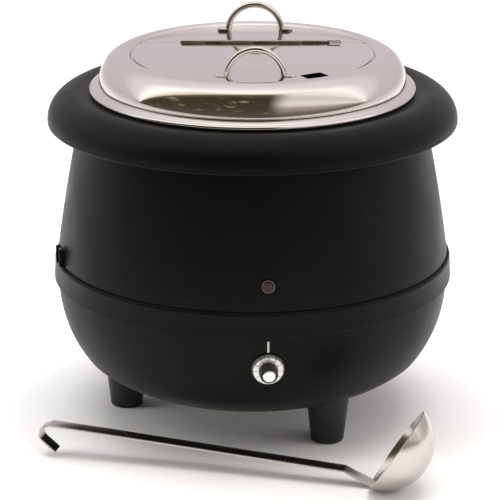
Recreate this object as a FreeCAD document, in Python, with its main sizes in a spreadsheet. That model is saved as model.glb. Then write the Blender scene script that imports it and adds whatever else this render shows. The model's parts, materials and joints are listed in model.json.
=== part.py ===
import FreeCAD, Part
import math
import os
import Sketcher
from FreeCAD import Placement, Rotation, Vector

# Electric soup kettle with a lift-out pan, a hinged lid and a ladle.
# Frame: origin on the kettle's axis at floor level, +Z up, the knob side faces -Y.

SIZES = {
    # painted steel outer shells
    "sheet": 1.2,
    "bowl_floor_radius": 100.0,
    "bowl_floor_height": 34.5,
    "bowl_turn_radius": 141.0,
    "bowl_turn_height": 42.8,
    "bowl_side_radius": 167.6,
    "bowl_side_height": 60.0,
    "flank_foot_radius": 171.75,
    "flank_foot_height": 65.49,
    "flank_mid_radius": 178.26,
    "flank_mid_height": 75.62,
    "flank_top_radius": 183.18,
    "flank_top_height": 86.61,
    "belly_foot_radius": 187.85,
    "belly_foot_height": 99.56,
    "belly_mid_radius": 191.06,
    "belly_mid_height": 111.17,
    "belly_top_radius": 192.5,
    "belly_top_height": 123.12,
    "bowl_top_radius": 192.8,
    "bowl_top_height": 130.0,
    "band_radius": 197.2,
    "band_foot_height": 139.2,
    "band_shoulder_radius": 196.1,
    "band_shoulder_height": 158.0,
    "band_lip_radius": 194.6,
    "band_lip_height": 161.9,
    "base_hole_radius": 78.0,
    "skirt_radius": 193.0,
    "skirt_foot_height": 144.0,
    "skirt_top_height": 166.0,
    "waist_low_radius": 186.5,
    "waist_low_height": 209.3,
    "waist_high_radius": 178.8,
    "waist_high_height": 252.7,
    "neck_radius": 170.0,
    "neck_height": 296.0,
    "throat_radius": 167.0,
    "throat_height": 312.0,
    "shell_flange_height": 323.5,
    "shell_flange_outer": 160.5,
    "shell_flange_inner": 152.0,
    # collar
    "collar_bore": 144.2,
    "collar_bore_foot": 316.5,
    "ledge_height": 324.7,
    "ledge_outer": 162.0,
    "crest_radius": 172.0,
    "crest_height": 326.3,
    "collar_brow_radius": 186.2,
    "collar_brow_height": 322.4,
    "collar_cheek_radius": 194.9,
    "collar_cheek_height": 315.0,
    "collar_edge_radius": 200.5,
    "collar_edge_height": 300.5,
    "collar_foot_height": 296.0,
    "collar_lip_radius": 196.5,
    # aluminium well, heater and controls
    "well_wall": 1.5,
    "well_radius": 146.5,
    "well_floor": 128.0,
    "well_corner": 22.0,
    "well_flange": 160.0,
    "well_flange_top": 322.2,
    "heater_plate_radius": 96.0,
    "heater_plate_thick": 5.0,
    "element_ring": 72.0,
    "element_rod": 4.0,
    "cutout_radius": 9.0,
    "cutout_long": 12.0,
    "cutout_offset": 30.0,
    "control_azimuth": 4.3,
    "control_height": 106.0,
    "control_radius": 189.4,
    "control_tilt": 9.0,
    "thermostat_wide": 34.0,
    "thermostat_tall": 30.0,
    "thermostat_deep": 24.0,
    "thermostat_gap": 5.0,
    "bush_radius": 5.0,
    "shaft_radius": 3.0,
    "bracket_wide": 46.0,
    "dial_radius": 15.5,
    "dial_front_radius": 13.6,
    "dial_thick": 4.5,
    "grip_radius": 9.2,
    "grip_front": 8.4,
    "grip_long": 8.5,
    "cap_radius": 6.2,
    "cap_long": 2.4,
    "running_gap": 0.4,
    "bulb_radius": 3.2,
    "bulb_long": 70.0,
    "bulb_floor": 190.0,
    "lamp_height": 187.0,
    "lamp_radius": 5.3,
    "lamp_flange": 6.2,
    "lamp_body": 4.0,
    "lamp_long": 22.0,
    "lamp_surface": 190.6,
    "mark_low": 122.6,
    "mark_high": 133.6,
    "mark_wide": 1.9,
    # feet and what hangs on them
    "foot_circle": 127.7,
    "foot_azimuth": 34.8,
    "foot_count": 3,
    "foot_bottom": 15.8,
    "foot_top": 22.0,
    "foot_tall": 56.0,
    "foot_round": 1.5,
    "rod_radius": 3.0,
    "rod_top": 116.0,
    "rod_head": 6.0,
    "rod_head_thick": 4.0,
    "head_recess": 8.0,
    "tie_plate_height": 112.0,
    "tie_plate_thick": 2.5,
    "nut_radius": 5.5,
    "nut_thick": 5.0,
    "base_plate_radius": 92.0,
    "screw_count": 6,
    "screw_circle": 85.0,
    "screw_radius": 2.0,
    "screw_head": 4.0,
    "collar_screw_circle": 156.0,
    # rear and side fittings
    "gland_height": 100.0,
    "gland_surface": 187.4,
    "gland_radius": 9.0,
    "gland_bore": 4.0,
    "gland_nut_radius": 13.0,
    "terminal_x": 60.0,
    "terminal_y": 60.0,
    "terminal_long": 44.0,
    "terminal_deep": 20.0,
    "terminal_tall": 16.0,
    "earth_x": -60.0,
    "lug_azimuth": -74.0,
    "lug_wide": 16.0,
    "lug_tall": 17.5,
    "lug_low": 162.6,
    "lug_proud": 4.6,
    "lug_surface": 193.1,
    # lift-out pan
    "pan_wall": 1.0,
    "pan_radius": 141.0,
    "pan_floor": 150.0,
    "pan_corner": 22.0,
    "rim_rise": 329.0,
    "rim_top": 333.3,
    "rim_inner": 146.0,
    "rim_crown": 150.5,
    "rim_brow_radius": 156.8,
    "rim_brow_height": 330.5,
    "hem_radius": 159.4,
    "hem_height": 327.6,
    "hem_foot_radius": 157.2,
    "hem_foot_height": 325.1,
    "hem_end_radius": 155.2,
    "hem_end_height": 326.0,
    # lid, flap and hinge
    "lid_sheet": 0.9,
    "lid_seat": 333.6,
    "lid_radius": 150.2,
    "lid_skirt_radius": 138.6,
    "lid_skirt_foot": 327.0,
    "lid_ledge_inner": 108.0,
    "lid_ledge_top": 360.4,
    "recess_radius": 119.7,
    "cove_rise": 1.5,
    "cove_radius": 121.9,
    "cove_height": 363.2,
    "lid_crest_radius": 124.5,
    "lid_crest_height": 364.0,
    "brow_radius": 134.1,
    "brow_height": 361.6,
    "lid_haunch_radius": 141.0,
    "lid_haunch_height": 357.3,
    "deck_top": 361.6,
    "deck_radius": 119.4,
    "flap_radius": 117.0,
    "flap_low": 360.7,
    "flap_thick": 0.8,
    "hinge_y": 42.0,
    "hinge_height": 362.3,
    "hinge_left": -71.0,
    "knuckle": 24.0,
    "knuckle_count": 6,
    "knuckle_gap": 0.4,
    "barrel_radius": 1.8,
    "pin_radius": 1.0,
    "pin_hole": 1.05,
    "leaf_thick": 0.8,
    "leaf_deep": 16.0,
    "fork_long": 14.0,
    "slot_gap": 0.6,
    "slot_reach": 2.5,
    "slot_tall": 20.0,
    "notch_azimuth": 32.5,
    "notch_wide": 23.5,
    "notch_inner": 99.0,
    "front_handle_y": -93.0,
    "rear_handle_y": 99.0,
    "handle_rod": 3.25,
    "handle_x": 2.5,
    "handle_rise": 28.7,
    "handle_arch": 26.75,
    "tab_reach": 38.5,
    "tab_wide": 9.0,
    "tab_thick": 1.2,
    # tools that cut holes and trim edges
    "tool_back": -10.0,
    "tool_long": 20.0,
    "tool_low": 30.0,
    "tool_short": 10.0,
    "tool_dip": 5.0,
    "space": 300.0,
    # tails, capillary and sensor
    "ring_open": 330.0,
    "ring_turn": 105.0,
    "tail_turn": 15.0,
    "tail_long": 24.0,
    "bulb_x": 24.0,
    "capillary_x": 14.0,
    "capillary_y": -160.0,
    "capillary_low": 124.0,
    "capillary_knee": 150.0,
    "capillary_join": 165.0,
    "capillary_bend": 8.0,
    "capillary_radius": 0.8,
    # thermostat, knob and lamp details
    "bush_stop": 0.5,
    "shaft_play": 0.05,
    "shaft_start": -15.0,
    "ear_front": -4.1,
    "ear_back": 3.9,
    "dial_stand": 1.4,
    "knob_seat": 1.0,
    "flute_count": 12,
    "flute_radius": 1.1,
    "flute_out": 0.5,
    "mark_reach": 6.0,
    "mark_deep": 16.0,
    "lamp_rim_start": 1.2,
    "lamp_rim_thick": 1.0,
    "lamp_wall": 1.0,
    "lamp_proud": 1.6,
    "lamp_face_start": 2.2,
    "lamp_face_thick": 1.3,
    "lamp_nut_start": -5.0,
    "lamp_nut_thick": 2.0,
    # strips under the well
    "strip_breadth": 20.0,
    "strip_inner": 102.0,
    "strip_bend": 114.0,
    "strip_outer": 138.0,
    "rod_extra": 4.0,
    "nut_trim": 1.5,
    # base plate and terminals
    "shank_long": 8.0,
    "head_thick": 2.0,
    "vent_count": 6,
    "vent_pitch": 12.0,
    "vent_wide": 3.0,
    "vent_long": 50.0,
    "terminal_first": 8.0,
    "terminal_pitch": 14.0,
    "terminal_count": 3,
    "terminal_hole": 2.5,
    "terminal_screw_long": 4.0,
    "earth_y": 65.0,
    "earth_radius": 2.0,
    "earth_long": 14.0,
    "earth_nut": 4.0,
    "earth_nut_thick": 3.0,
    # gland
    "gland_flange_back": -2.0,
    "gland_flange_thick": 8.0,
    "gland_dome_extra": 2.5,
    "gland_dome_start": 6.0,
    "gland_dome_long": 10.0,
    "gland_shank_back": -14.0,
    "gland_shank_long": 16.0,
    "gland_nut_back": -13.0,
    "gland_nut_thick": 4.0,
    # lug
    "lug_sheet": 1.4,
    "lug_sink": -0.5,
    "lug_back_deep": 2.0,
    "rivet_apart": 4.5,
    "rivet_back": -3.0,
    "rivet_long": 5.0,
    "rivet_head_start": 1.5,
    "rivet_head_thick": 1.2,
    # hinge details
    "edge_gap": 0.3,
    "web_deep": 4.0,
    "web_drop": 0.6,
    "leaf_start": 3.0,
    "fork_deep": 3.0,
    "fork_tip": 0.8,
    "fork_half": 1.4,
    "fork_tip_low": 0.6,
    "yoke_long": 2.0,
    "notch_outer": 118.2,
    "notch_start": 90.0,
    "notch_tall": 5.6,
    # ladle
    "ladle_x": 110.0,
    "ladle_y": -219.0,
    "ladle_turn": 165.9,
    "ladle_bowl_radius": 44.0,
    "ladle_bowl_deep": 33.0,
    "ladle_wall": 1.2,
    "ladle_lean": 57.0,
    "strip_wide": 15.0,
    "strip_thick": 2.0,
}

AXIS_Z = Vector(0, 0, 1)
ORIGIN = Vector(0, 0, 0)


class Size:
    """A length that knows its value and the sheet expression that gives it."""

    def __init__(self, value, text):
        self.value = value
        self.text = text

    def __add__(self, other):
        return Size(self.value + number(other), f"({self.text} + {wording(other)})")

    def __sub__(self, other):
        return Size(self.value - number(other), f"({self.text} - {wording(other)})")

    def __mul__(self, other):
        return Size(self.value * number(other), f"({self.text} * {wording(other)})")

    def __truediv__(self, other):
        return Size(self.value / number(other), f"({self.text} / {wording(other)})")

    def __radd__(self, other):
        return self + other

    def __neg__(self):
        return Size(-self.value, f"(-1 * {self.text})")


def number(size):
    return size.value if isinstance(size, Size) else size


def wording(size):
    return size.text if isinstance(size, Size) else str(size)


class Sheet:
    """The driving dimensions, one spreadsheet row each, read back by name."""

    def __init__(self, document, sizes):
        self.table = document.addObject("Spreadsheet::Sheet", "Sizes")
        for row, (name, value) in enumerate(sizes.items(), start=1):
            self.table.set(f"A{row}", name)
            self.table.set(f"B{row}", str(value))
            self.table.setAlias(f"B{row}", name)
        document.recompute()
        for name in sizes:
            setattr(self, name, Size(float(self.table.get(name)), f"Sizes.{name}"))


doc = FreeCAD.newDocument("SoupKettle")
s = Sheet(doc, SIZES)
doc.recompute()
nodes = []


def keep(piece, label):
    """Names a finished sub-part and adds it to the parts that are written."""
    piece.Label = label
    nodes.append(piece)
    return piece


def bind(target, name, size):
    if isinstance(size, Size):
        target.setExpression(name, size.text)
    else:
        setattr(target, name, size)


def place(piece, x=0.0, y=0.0, z=0.0, rotation=None):
    """Puts a piece at a bound position, with a fixed rotation."""
    position = Vector(number(x), number(y), number(z))
    piece.Placement = Placement(position, rotation or Rotation())
    for axis, size in zip("xyz", (x, y, z)):
        if isinstance(size, Size):
            piece.setExpression(f"Placement.Base.{axis}", size.text)
    return piece


def box(long, deep, tall, x, y, z):
    piece = doc.addObject("Part::Box", "Box")
    bind(piece, "Length", long)
    bind(piece, "Width", deep)
    bind(piece, "Height", tall)
    return place(piece, x, y, z)


def cylinder(radius, tall, x=0.0, y=0.0, z=0.0, rotation=None):
    piece = doc.addObject("Part::Cylinder", "Cylinder")
    bind(piece, "Radius", radius)
    bind(piece, "Height", tall)
    return place(piece, x, y, z, rotation)


def cone(low, high, tall, x=0.0, y=0.0, z=0.0, rotation=None):
    piece = doc.addObject("Part::Cone", "Cone")
    bind(piece, "Radius1", low)
    bind(piece, "Radius2", high)
    bind(piece, "Height", tall)
    return place(piece, x, y, z, rotation)


def hexagon(radius, tall, x=0.0, y=0.0, z=0.0):
    piece = doc.addObject("Part::Prism", "Hexagon")
    piece.Polygon = 6
    bind(piece, "Circumradius", radius)
    bind(piece, "Height", tall)
    return place(piece, x, y, z)


def fuse(*pieces):
    joined = doc.addObject("Part::MultiFuse", "Fuse")
    joined.Shapes = list(pieces)
    return joined


def cut(base, *tools):
    piece = doc.addObject("Part::Cut", "Cut")
    piece.Base = base
    piece.Tool = tools[0] if len(tools) == 1 else fuse(*tools)
    return piece


def group(pieces):
    """Identical separate solids that share one node."""
    together = doc.addObject("Part::Compound", "Group")
    together.Links = pieces
    return together


def solid(shape, label):
    """A shape made with Part's own functions, from the sheet's sizes."""
    piece = doc.addObject("Part::Feature", label)
    piece.Shape = shape
    return piece


def around(radius, azimuth, height=0.0):
    """A point on a circle about the kettle's axis; azimuth 0 is the front."""
    angle = math.radians(azimuth)
    return Vector(radius * math.sin(angle), -radius * math.cos(angle), height)


def ring_angles(count, first=0.0):
    return [first + 360.0 / count * turn for turn in range(int(count))]


def draw(sketch, path, closed):
    """Draws bound lines and three-point arcs along a path of (radius, height)
    points; a point marked "arc" is the middle point of an arc."""
    corners = [point for point in path if len(point) == 2]
    middles = {}
    for index, point in enumerate(path):
        if len(point) == 3:
            middles[sum(1 for other in path[:index] if len(other) == 2) - 1] = point
    count = len(corners) if closed else len(corners) - 1
    ends = []
    for index in range(count):
        start = flat(corners[index])
        finish = flat(corners[(index + 1) % len(corners)])
        if index in middles:
            middle = middles[index]
            curve = Part.Arc(start, flat(middle), finish)
            edge = sketch.addGeometry(curve, False)
            first = sketch.getPoint(edge, 1)
            ends.append((edge, 1, 2) if first.isEqual(start, 1e-4) else (edge, 2, 1))
            mark = sketch.addGeometry(Part.Point(flat(middle)), True)
            pin_point(sketch, mark, 1, middle)
            sketch.addConstraint(Sketcher.Constraint("PointOnObject", mark, 1, edge))
        else:
            edge = sketch.addGeometry(Part.LineSegment(start, finish), False)
            ends.append((edge, 1, 2))
    for index, (edge, first, last) in enumerate(ends):
        pin_point(sketch, edge, first, corners[index])
        if index + 1 < count or closed:
            after = ends[(index + 1) % count]
            joint = Sketcher.Constraint("Coincident", edge, last, after[0], after[1])
            sketch.addConstraint(joint)
        else:
            pin_point(sketch, edge, last, corners[index + 1])


def flat(point):
    return Vector(number(point[0]), number(point[1]), 0)


def pin_point(sketch, edge, end, point):
    """Holds one point at its bound radius and height."""
    for kind, size, line in (("DistanceX", point[0], -2), ("DistanceY", point[1], -1)):
        if number(size) == 0:
            sketch.addConstraint(Sketcher.Constraint("PointOnObject", edge, end, line))
            continue
        rule = Sketcher.Constraint(kind, -1, 1, edge, end, number(size))
        index = sketch.addConstraint(rule)
        if isinstance(size, Size):
            sketch.setExpression(f"Constraints[{index}]", size.text)


def turned(label, outline):
    """A solid of revolution: a PartDesign body with a bound, closed outline."""
    body = doc.addObject("PartDesign::Body", label)
    sketch = body.newObject("Sketcher::SketchObject", label + "_outline")
    planes = {plane.Role: plane for plane in body.Origin.OriginFeatures}
    sketch.AttachmentSupport = [(planes["XZ_Plane"], "")]
    sketch.MapMode = "FlatFace"
    draw(sketch, outline, closed=True)
    turn = body.newObject("PartDesign::Revolution", label + "_turn")
    turn.Profile = sketch
    turn.ReferenceAxis = (sketch, ["V_Axis"])
    turn.Angle = 360
    body.Tip = turn
    return body


def pressed(label, path, thickness, side=1, join="Intersection"):
    """Spun sheet metal: an open path thickened to one side and turned."""
    sketch = doc.addObject("Sketcher::SketchObject", label + "_path")
    sketch.Placement = Placement(ORIGIN, Rotation(Vector(1, 0, 0), 90))
    draw(sketch, path, closed=False)
    section = doc.addObject("Part::Offset2D", label + "_section")
    section.Source = sketch
    section.Mode = "Skin"
    section.Join = join
    section.Fill = True
    section.setExpression("Value", (thickness * -side).text)
    turn = doc.addObject("Part::Revolution", label + "_turn")
    turn.Source = section
    turn.Axis = AXIS_Z
    turn.Base = ORIGIN
    turn.Angle = 360
    turn.Solid = True
    return turn


def radial(azimuth, tilt=0.0):
    """A rotation that turns +Z to point outward at an azimuth, tilted down."""
    outward = Rotation(AXIS_Z, azimuth) * Rotation(Vector(1, 0, 0), 90 + tilt)
    return outward


def swept(section, path, label):
    """One solid of a section swept along a smooth path of edges."""
    pipe = Part.Wire(path).makePipeShell([section], True, False)
    return solid(pipe, label)


def mid_arc(start, middle, finish):
    return Part.Arc(start, middle, finish).toShape()


def straight(start, finish):
    return Part.makeLine(start, finish)


# ---- outer shells ---------------------------------------------------------

def bowl_path():
    """The outside of the lower shell, from its floor up to its joggled band."""
    return [
        (s.bowl_floor_radius, s.bowl_floor_height),
        (s.bowl_turn_radius, s.bowl_turn_height, "arc"),
        (s.bowl_side_radius, s.bowl_side_height),
        (s.flank_foot_radius, s.flank_foot_height),
        (s.flank_mid_radius, s.flank_mid_height, "arc"),
        (s.flank_top_radius, s.flank_top_height),
        (s.belly_foot_radius, s.belly_foot_height),
        (s.belly_mid_radius, s.belly_mid_height, "arc"),
        (s.belly_top_radius, s.belly_top_height),
        (s.bowl_top_radius, s.bowl_top_height),
    ]


def lower_shell():
    path = [(s.base_hole_radius, s.bowl_floor_height)] + bowl_path() + [
        (s.bowl_top_radius + s.sheet / 2, s.band_foot_height - s.sheet * 2),
        (s.band_radius, s.band_foot_height),
        (s.band_shoulder_radius, s.band_shoulder_height),
        (s.band_shoulder_radius - s.sheet / 6, s.band_shoulder_height + s.sheet * 2, "arc"),
        (s.band_lip_radius, s.band_lip_height),
    ]
    shell = pressed("lower_shell", path, s.sheet, side=-1)
    holes = [control_cylinder(s.bush_radius + s.running_gap, s.tool_back.value, s.tool_long)]
    holes.append(gland_cylinder(s.gland_radius, s.tool_back.value, s.tool_long))
    for azimuth in foot_azimuths():
        spot = around(s.foot_circle.value, azimuth, s.tool_low.value)
        holes.append(cylinder(s.rod_radius + s.running_gap, s.tool_low, spot.x, spot.y, spot.z))
    for angle in ring_angles(s.screw_count.value):
        spot = around(s.screw_circle.value, angle, s.tool_low.value)
        holes.append(cylinder(s.screw_radius, s.tool_short, spot.x, spot.y, spot.z))
    keep(cut(shell, *holes), "lower_shell")


def upper_shell():
    path = [
        (s.skirt_radius, s.skirt_foot_height),
        (s.skirt_radius, s.skirt_top_height),
        (s.waist_low_radius, s.waist_low_height),
        (s.waist_high_radius, s.waist_high_height),
        (s.neck_radius, s.neck_height),
        (s.throat_radius, s.throat_height),
        (s.throat_radius - s.sheet, s.throat_height + s.sheet * 7, "arc"),
        (s.shell_flange_outer, s.shell_flange_height),
        (s.shell_flange_inner, s.shell_flange_height),
    ]
    shell = pressed("upper_shell", path, s.sheet, side=-1)
    lamp_hole = lamp_cylinder(s.lamp_body, s.tool_back.value, s.tool_long)
    holes = collar_screw_holes(s.screw_radius)
    lug_holes = [lug_rivet(s.screw_radius, s.tool_back.value, s.tool_long, side) for side in (-1, 1)]
    keep(cut(shell, lamp_hole, *holes, *lug_holes), "upper_shell")


def collar():
    path = [
        (s.collar_bore, s.collar_bore_foot),
        (s.collar_bore, s.ledge_height),
        (s.ledge_outer, s.ledge_height),
        (s.crest_radius, s.crest_height),
        (s.collar_brow_radius, s.collar_brow_height, "arc"),
        (s.collar_cheek_radius, s.collar_cheek_height),
        (s.collar_edge_radius - s.sheet * 1.4, s.collar_edge_height + s.sheet * 6.2, "arc"),
        (s.collar_edge_radius, s.collar_edge_height),
        (s.collar_edge_radius, s.collar_foot_height),
        (s.collar_lip_radius, s.collar_foot_height - s.sheet / 2),
    ]
    keep(pressed("collar", path, s.sheet), "collar")


def collar_screw_holes(radius):
    spots = [around(s.collar_screw_circle.value, a) for a in ring_angles(s.screw_count.value, 30)]
    return [cylinder(radius, s.tool_short, p.x, p.y, s.well_flange_top - s.well_wall * 3) for p in spots]


def collar_screws():
    """Six screws that clamp the well's flange under the outer shell's flange."""
    screws = []
    low = s.well_flange_top - s.well_wall
    for angle in ring_angles(s.screw_count.value, 30):
        spot = around(s.collar_screw_circle.value, angle)
        shank_tall = s.shell_flange_height - low
        shank = cylinder(s.screw_radius, shank_tall, spot.x, spot.y, low)
        head = cylinder(s.screw_head, s.sheet * 2, spot.x, spot.y, low - s.sheet * 2)
        screws.append(fuse(shank, head))
    keep(group(screws), "collar_screws")


# ---- well and heater ------------------------------------------------------

def well():
    floor = s.well_floor
    path = [
        (s.well_radius * 0, floor),
        (s.well_radius - s.well_corner, floor),
        (s.well_radius - s.well_corner * 0.2929, floor + s.well_corner * 0.2929, "arc"),
        (s.well_radius, floor + s.well_corner),
        (s.well_radius, s.well_flange_top),
        (s.well_flange, s.well_flange_top),
    ]
    vessel = pressed("well", path, s.well_wall)
    keep(cut(vessel, *collar_screw_holes(s.screw_radius)), "well")


def heater():
    """A round aluminium plate under the well, with a ring element below it."""
    plate_top = s.well_floor - s.well_wall
    plate_low = plate_top - s.heater_plate_thick
    plate = cylinder(s.heater_plate_radius, s.heater_plate_thick, z=plate_low)
    keep(plate, "heater_plate")
    ring = doc.addObject("Part::Torus", "ElementRing")
    bind(ring, "Radius1", s.element_ring)
    bind(ring, "Radius2", s.element_rod)
    bind(ring, "Angle3", s.ring_open)
    place(ring, 0.0, 0.0, plate_low - s.element_rod, Rotation(AXIS_Z, s.ring_turn.value))
    tails = []
    for turn in (s.tail_turn.value, -s.tail_turn.value):
        spot = around(s.element_ring.value, 180.0 - turn)
        tail_low = plate_low - s.element_rod - s.tail_long
        tails.append(cylinder(s.element_rod, s.tail_long, spot.x, spot.y, tail_low))
    keep(fuse(ring, *tails), "heating_element")
    cutout = cylinder(s.cutout_radius, s.cutout_long, s.cutout_offset, 0.0, plate_low - s.cutout_long)
    keep(cutout, "overheat_cutout")


# ---- controls -------------------------------------------------------------

def control_frame(offset):
    """A point on the knob's axis, measured outward from the shell's surface."""
    base = around(s.control_radius.value, s.control_azimuth.value, s.control_height.value)
    turn = radial(s.control_azimuth.value, s.control_tilt.value)
    return base + turn.multVec(Vector(0, 0, offset)), turn


def control_cylinder(radius, start, tall):
    spot, turn = control_frame(start)
    return cylinder(radius, tall, spot.x, spot.y, spot.z, turn)


def control_cone(low, high, start, tall):
    spot, turn = control_frame(start)
    return cone(low, high, tall, spot.x, spot.y, spot.z, turn)


def control_box(wide, tall, deep, start, aside=0.0):
    """A box behind the knob, its front face at the start offset."""
    spot, turn = control_frame(0.0)
    corner = Vector(aside - number(wide) / 2, -number(tall) / 2, start - number(deep))
    block = doc.addObject("Part::Box", "ControlBox")
    bind(block, "Length", wide)
    bind(block, "Width", tall)
    bind(block, "Height", deep)
    block.Placement = Placement(spot + turn.multVec(corner), turn)
    return block


def thermostat():
    """The control thermostat behind the lower shell, with its bracket."""
    gap = s.thermostat_gap.value
    wide, tall, deep = s.thermostat_wide, s.thermostat_tall, s.thermostat_deep
    case = control_box(wide, tall, deep, -gap - s.sheet.value)
    bush_long = s.thermostat_gap + s.sheet - s.bush_stop
    bush = control_cylinder(s.bush_radius, -gap - s.sheet.value, bush_long)
    shaft_hole = control_cylinder(s.shaft_radius + s.shaft_play, s.shaft_start.value - 1.0, s.tool_long)
    keep(cut(fuse(case, bush), shaft_hole), "thermostat")
    plate = control_box(s.bracket_wide, s.thermostat_tall * 0.8, s.sheet, -gap)
    ears = []
    for side in (-1, 1):
        aside = (s.bracket_wide.value / 2 - s.sheet.value) * side
        ear_deep = gap - s.ear_back.value
        ears.append(control_box(s.sheet * 2, s.thermostat_tall * 0.8, ear_deep, s.ear_front.value, aside))
    hole = control_cylinder(s.bush_radius, s.tool_back.value, s.tool_long)
    case_again = control_box(wide, tall, deep, -gap - s.sheet.value)
    keep(cut(fuse(plate, *ears), hole, case_again), "thermostat_bracket")


def knob():
    """A bright dial with a black grip and a bright cap, on the shaft."""
    rest = s.dial_stand.value
    seat = s.knob_seat.value
    dial = control_cone(s.dial_radius, s.dial_front_radius, rest, s.dial_thick)
    pocket = control_cylinder(s.shaft_radius, rest - seat, s.tool_long)
    keep(cut(dial, pocket), "knob_dial")
    grip_start = rest + s.dial_thick.value
    grip = control_cone(s.grip_radius, s.grip_front, grip_start, s.grip_long)
    ribs = []
    for angle in ring_angles(s.flute_count.value):
        rib_spot, turn = control_frame(grip_start - seat)
        out = Vector(s.grip_radius.value + s.flute_out.value, 0, 0)
        side = turn.multVec(Rotation(AXIS_Z, angle).multVec(out))
        spot = rib_spot + side
        ribs.append(cylinder(s.flute_radius, s.grip_long * 1.5, spot.x, spot.y, spot.z, turn))
    bore = control_cylinder(s.shaft_radius, grip_start - seat, s.grip_long)
    keep(cut(grip, bore, *ribs), "knob_grip")
    cap_start = grip_start + s.grip_long.value
    cap = control_cone(s.cap_radius, s.cap_radius * 0.86, cap_start, s.cap_long)
    keep(cap, "knob_cap")
    shaft_start = s.shaft_start.value
    shaft_long = grip_start - seat + s.grip_long.value - shaft_start
    keep(control_cylinder(s.shaft_radius, shaft_start, shaft_long), "thermostat_shaft")


def index_mark():
    """A thin painted line on the bowl above the knob, laid on the surface."""
    low = around(s.bowl_top_radius.value + s.mark_reach.value, s.control_azimuth.value, s.mark_low.value)
    block = doc.addObject("Part::Box", "MarkBox")
    bind(block, "Length", s.mark_wide)
    bind(block, "Width", s.mark_deep)
    bind(block, "Height", s.mark_high - s.mark_low)
    turn = Rotation(AXIS_Z, s.control_azimuth.value)
    block.Placement = Placement(low + turn.multVec(Vector(-s.mark_wide.value / 2, 0, 0)), turn)
    rise = (s.bowl_top_radius + s.sheet / 2, s.band_foot_height - s.sheet * 2)
    skin = pressed("mark_skin", bowl_path()[2:] + [rise], s.sheet / 4)
    mark = doc.addObject("Part::Common", "Mark")
    mark.Base = block
    mark.Tool = skin
    keep(mark, "index_mark")


def sensor():
    """The thermostat's bulb, clipped upright to the outside of the well."""
    outside = s.well_radius + s.well_wall
    spot_y = -outside - s.bulb_radius - s.sheet
    bulb = cylinder(s.bulb_radius, s.bulb_long, s.bulb_x, spot_y, s.bulb_floor)
    keep(bulb, "sensor_bulb")
    clip_low = s.bulb_floor + s.bulb_long / 4
    clip = cylinder(s.bulb_radius + s.sheet, s.bulb_long / 4, s.bulb_x, spot_y, clip_low)
    hole = cylinder(s.bulb_radius, s.bulb_long, s.bulb_x, spot_y, s.bulb_floor)
    body = cylinder(outside, s.space, z=s.tool_low)
    keep(cut(clip, hole, body), "bulb_clip")
    run = [
        Vector(s.capillary_x.value, s.capillary_y.value, s.capillary_low.value),
        Vector(s.capillary_x.value, s.capillary_y.value, s.capillary_knee.value),
        Vector(s.bulb_x.value, spot_y.value, s.capillary_join.value),
        Vector(s.bulb_x.value, spot_y.value, s.bulb_floor.value),
    ]
    wire = smooth_run(run, s.capillary_bend.value)
    ring = Part.Wire(Part.makeCircle(s.capillary_radius.value, run[0], run[1] - run[0]))
    keep(swept(ring, wire, "capillary"), "capillary")


def smooth_run(points, bend):
    """Straight runs joined by tangent arcs of one bend radius."""
    edges = []
    start = points[0]
    for before, corner, after in zip(points, points[1:], points[2:]):
        back = (before - corner).normalize()
        onward = (after - corner).normalize()
        half = (math.pi - back.getAngle(onward)) / 2
        reach = bend * math.tan(half)
        first = corner + back * reach
        last = corner + onward * reach
        inward = (back + onward).normalize()
        middle = corner + inward * (bend / math.cos(half) - bend)
        edges.append(straight(start, first))
        edges.append(mid_arc(first, middle, last))
        start = last
    edges.append(straight(start, points[-1]))
    return edges


def lamp_cylinder(radius, start, tall):
    spot = around(s.lamp_surface.value + start, s.control_azimuth.value, s.lamp_height.value)
    return cylinder(radius, tall, spot.x, spot.y, spot.z, radial(s.control_azimuth.value))


def pilot_lamp():
    rim = lamp_cylinder(s.lamp_flange, s.lamp_rim_start.value, s.lamp_rim_thick)
    barrel = lamp_cylinder(s.lamp_body, -s.lamp_long.value, s.lamp_long + s.lamp_proud)
    seat = lamp_cylinder(s.lamp_body - s.lamp_wall, 0.0, s.tool_dip)
    keep(cut(fuse(rim, barrel), seat), "lamp_holder")
    stem = lamp_cylinder(s.lamp_body - s.lamp_wall, 0.0, s.lamp_face_start)
    face = lamp_cylinder(s.lamp_radius, s.lamp_face_start.value, s.lamp_face_thick)
    keep(fuse(stem, face), "lamp_lens")
    nut = lamp_cylinder(s.lamp_flange + s.lamp_wall, s.lamp_nut_start.value, s.lamp_nut_thick)
    bore = lamp_cylinder(s.lamp_body, s.tool_back.value, s.tool_short)
    keep(cut(nut, bore), "lamp_nut")


# ---- feet and base --------------------------------------------------------

def foot_azimuths():
    return ring_angles(s.foot_count.value, s.foot_azimuth.value)


def bowl_blank():
    """The bowl's outside as a solid, for trimming what meets it from below."""
    outline = bowl_path()
    outline = [(s.bowl_top_radius * 0, s.bowl_floor_height)] + outline
    outline.append((s.bowl_top_radius * 0, s.bowl_top_height))
    return turned("bowl_blank", outline)


def feet():
    for name, azimuth in zip(("foot_right", "foot_rear", "foot_left"), foot_azimuths()):
        spot = around(s.foot_circle.value, azimuth)
        leg = cone(s.foot_bottom, s.foot_top, s.foot_tall, spot.x, spot.y)
        sole = cone(s.foot_bottom - s.foot_round, s.foot_bottom + 0.1, s.foot_round, spot.x, spot.y)
        ring = cylinder(s.foot_top * 2, s.foot_round, spot.x, spot.y)
        recess = cylinder(s.head_recess, s.rod_head_thick * 2, spot.x, spot.y)
        hole = cylinder(s.rod_radius, s.foot_tall, spot.x, spot.y)
        trimmed = cut(leg, bowl_blank(), cut(ring, sole), recess, hole)
        keep(trimmed, name)


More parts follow.
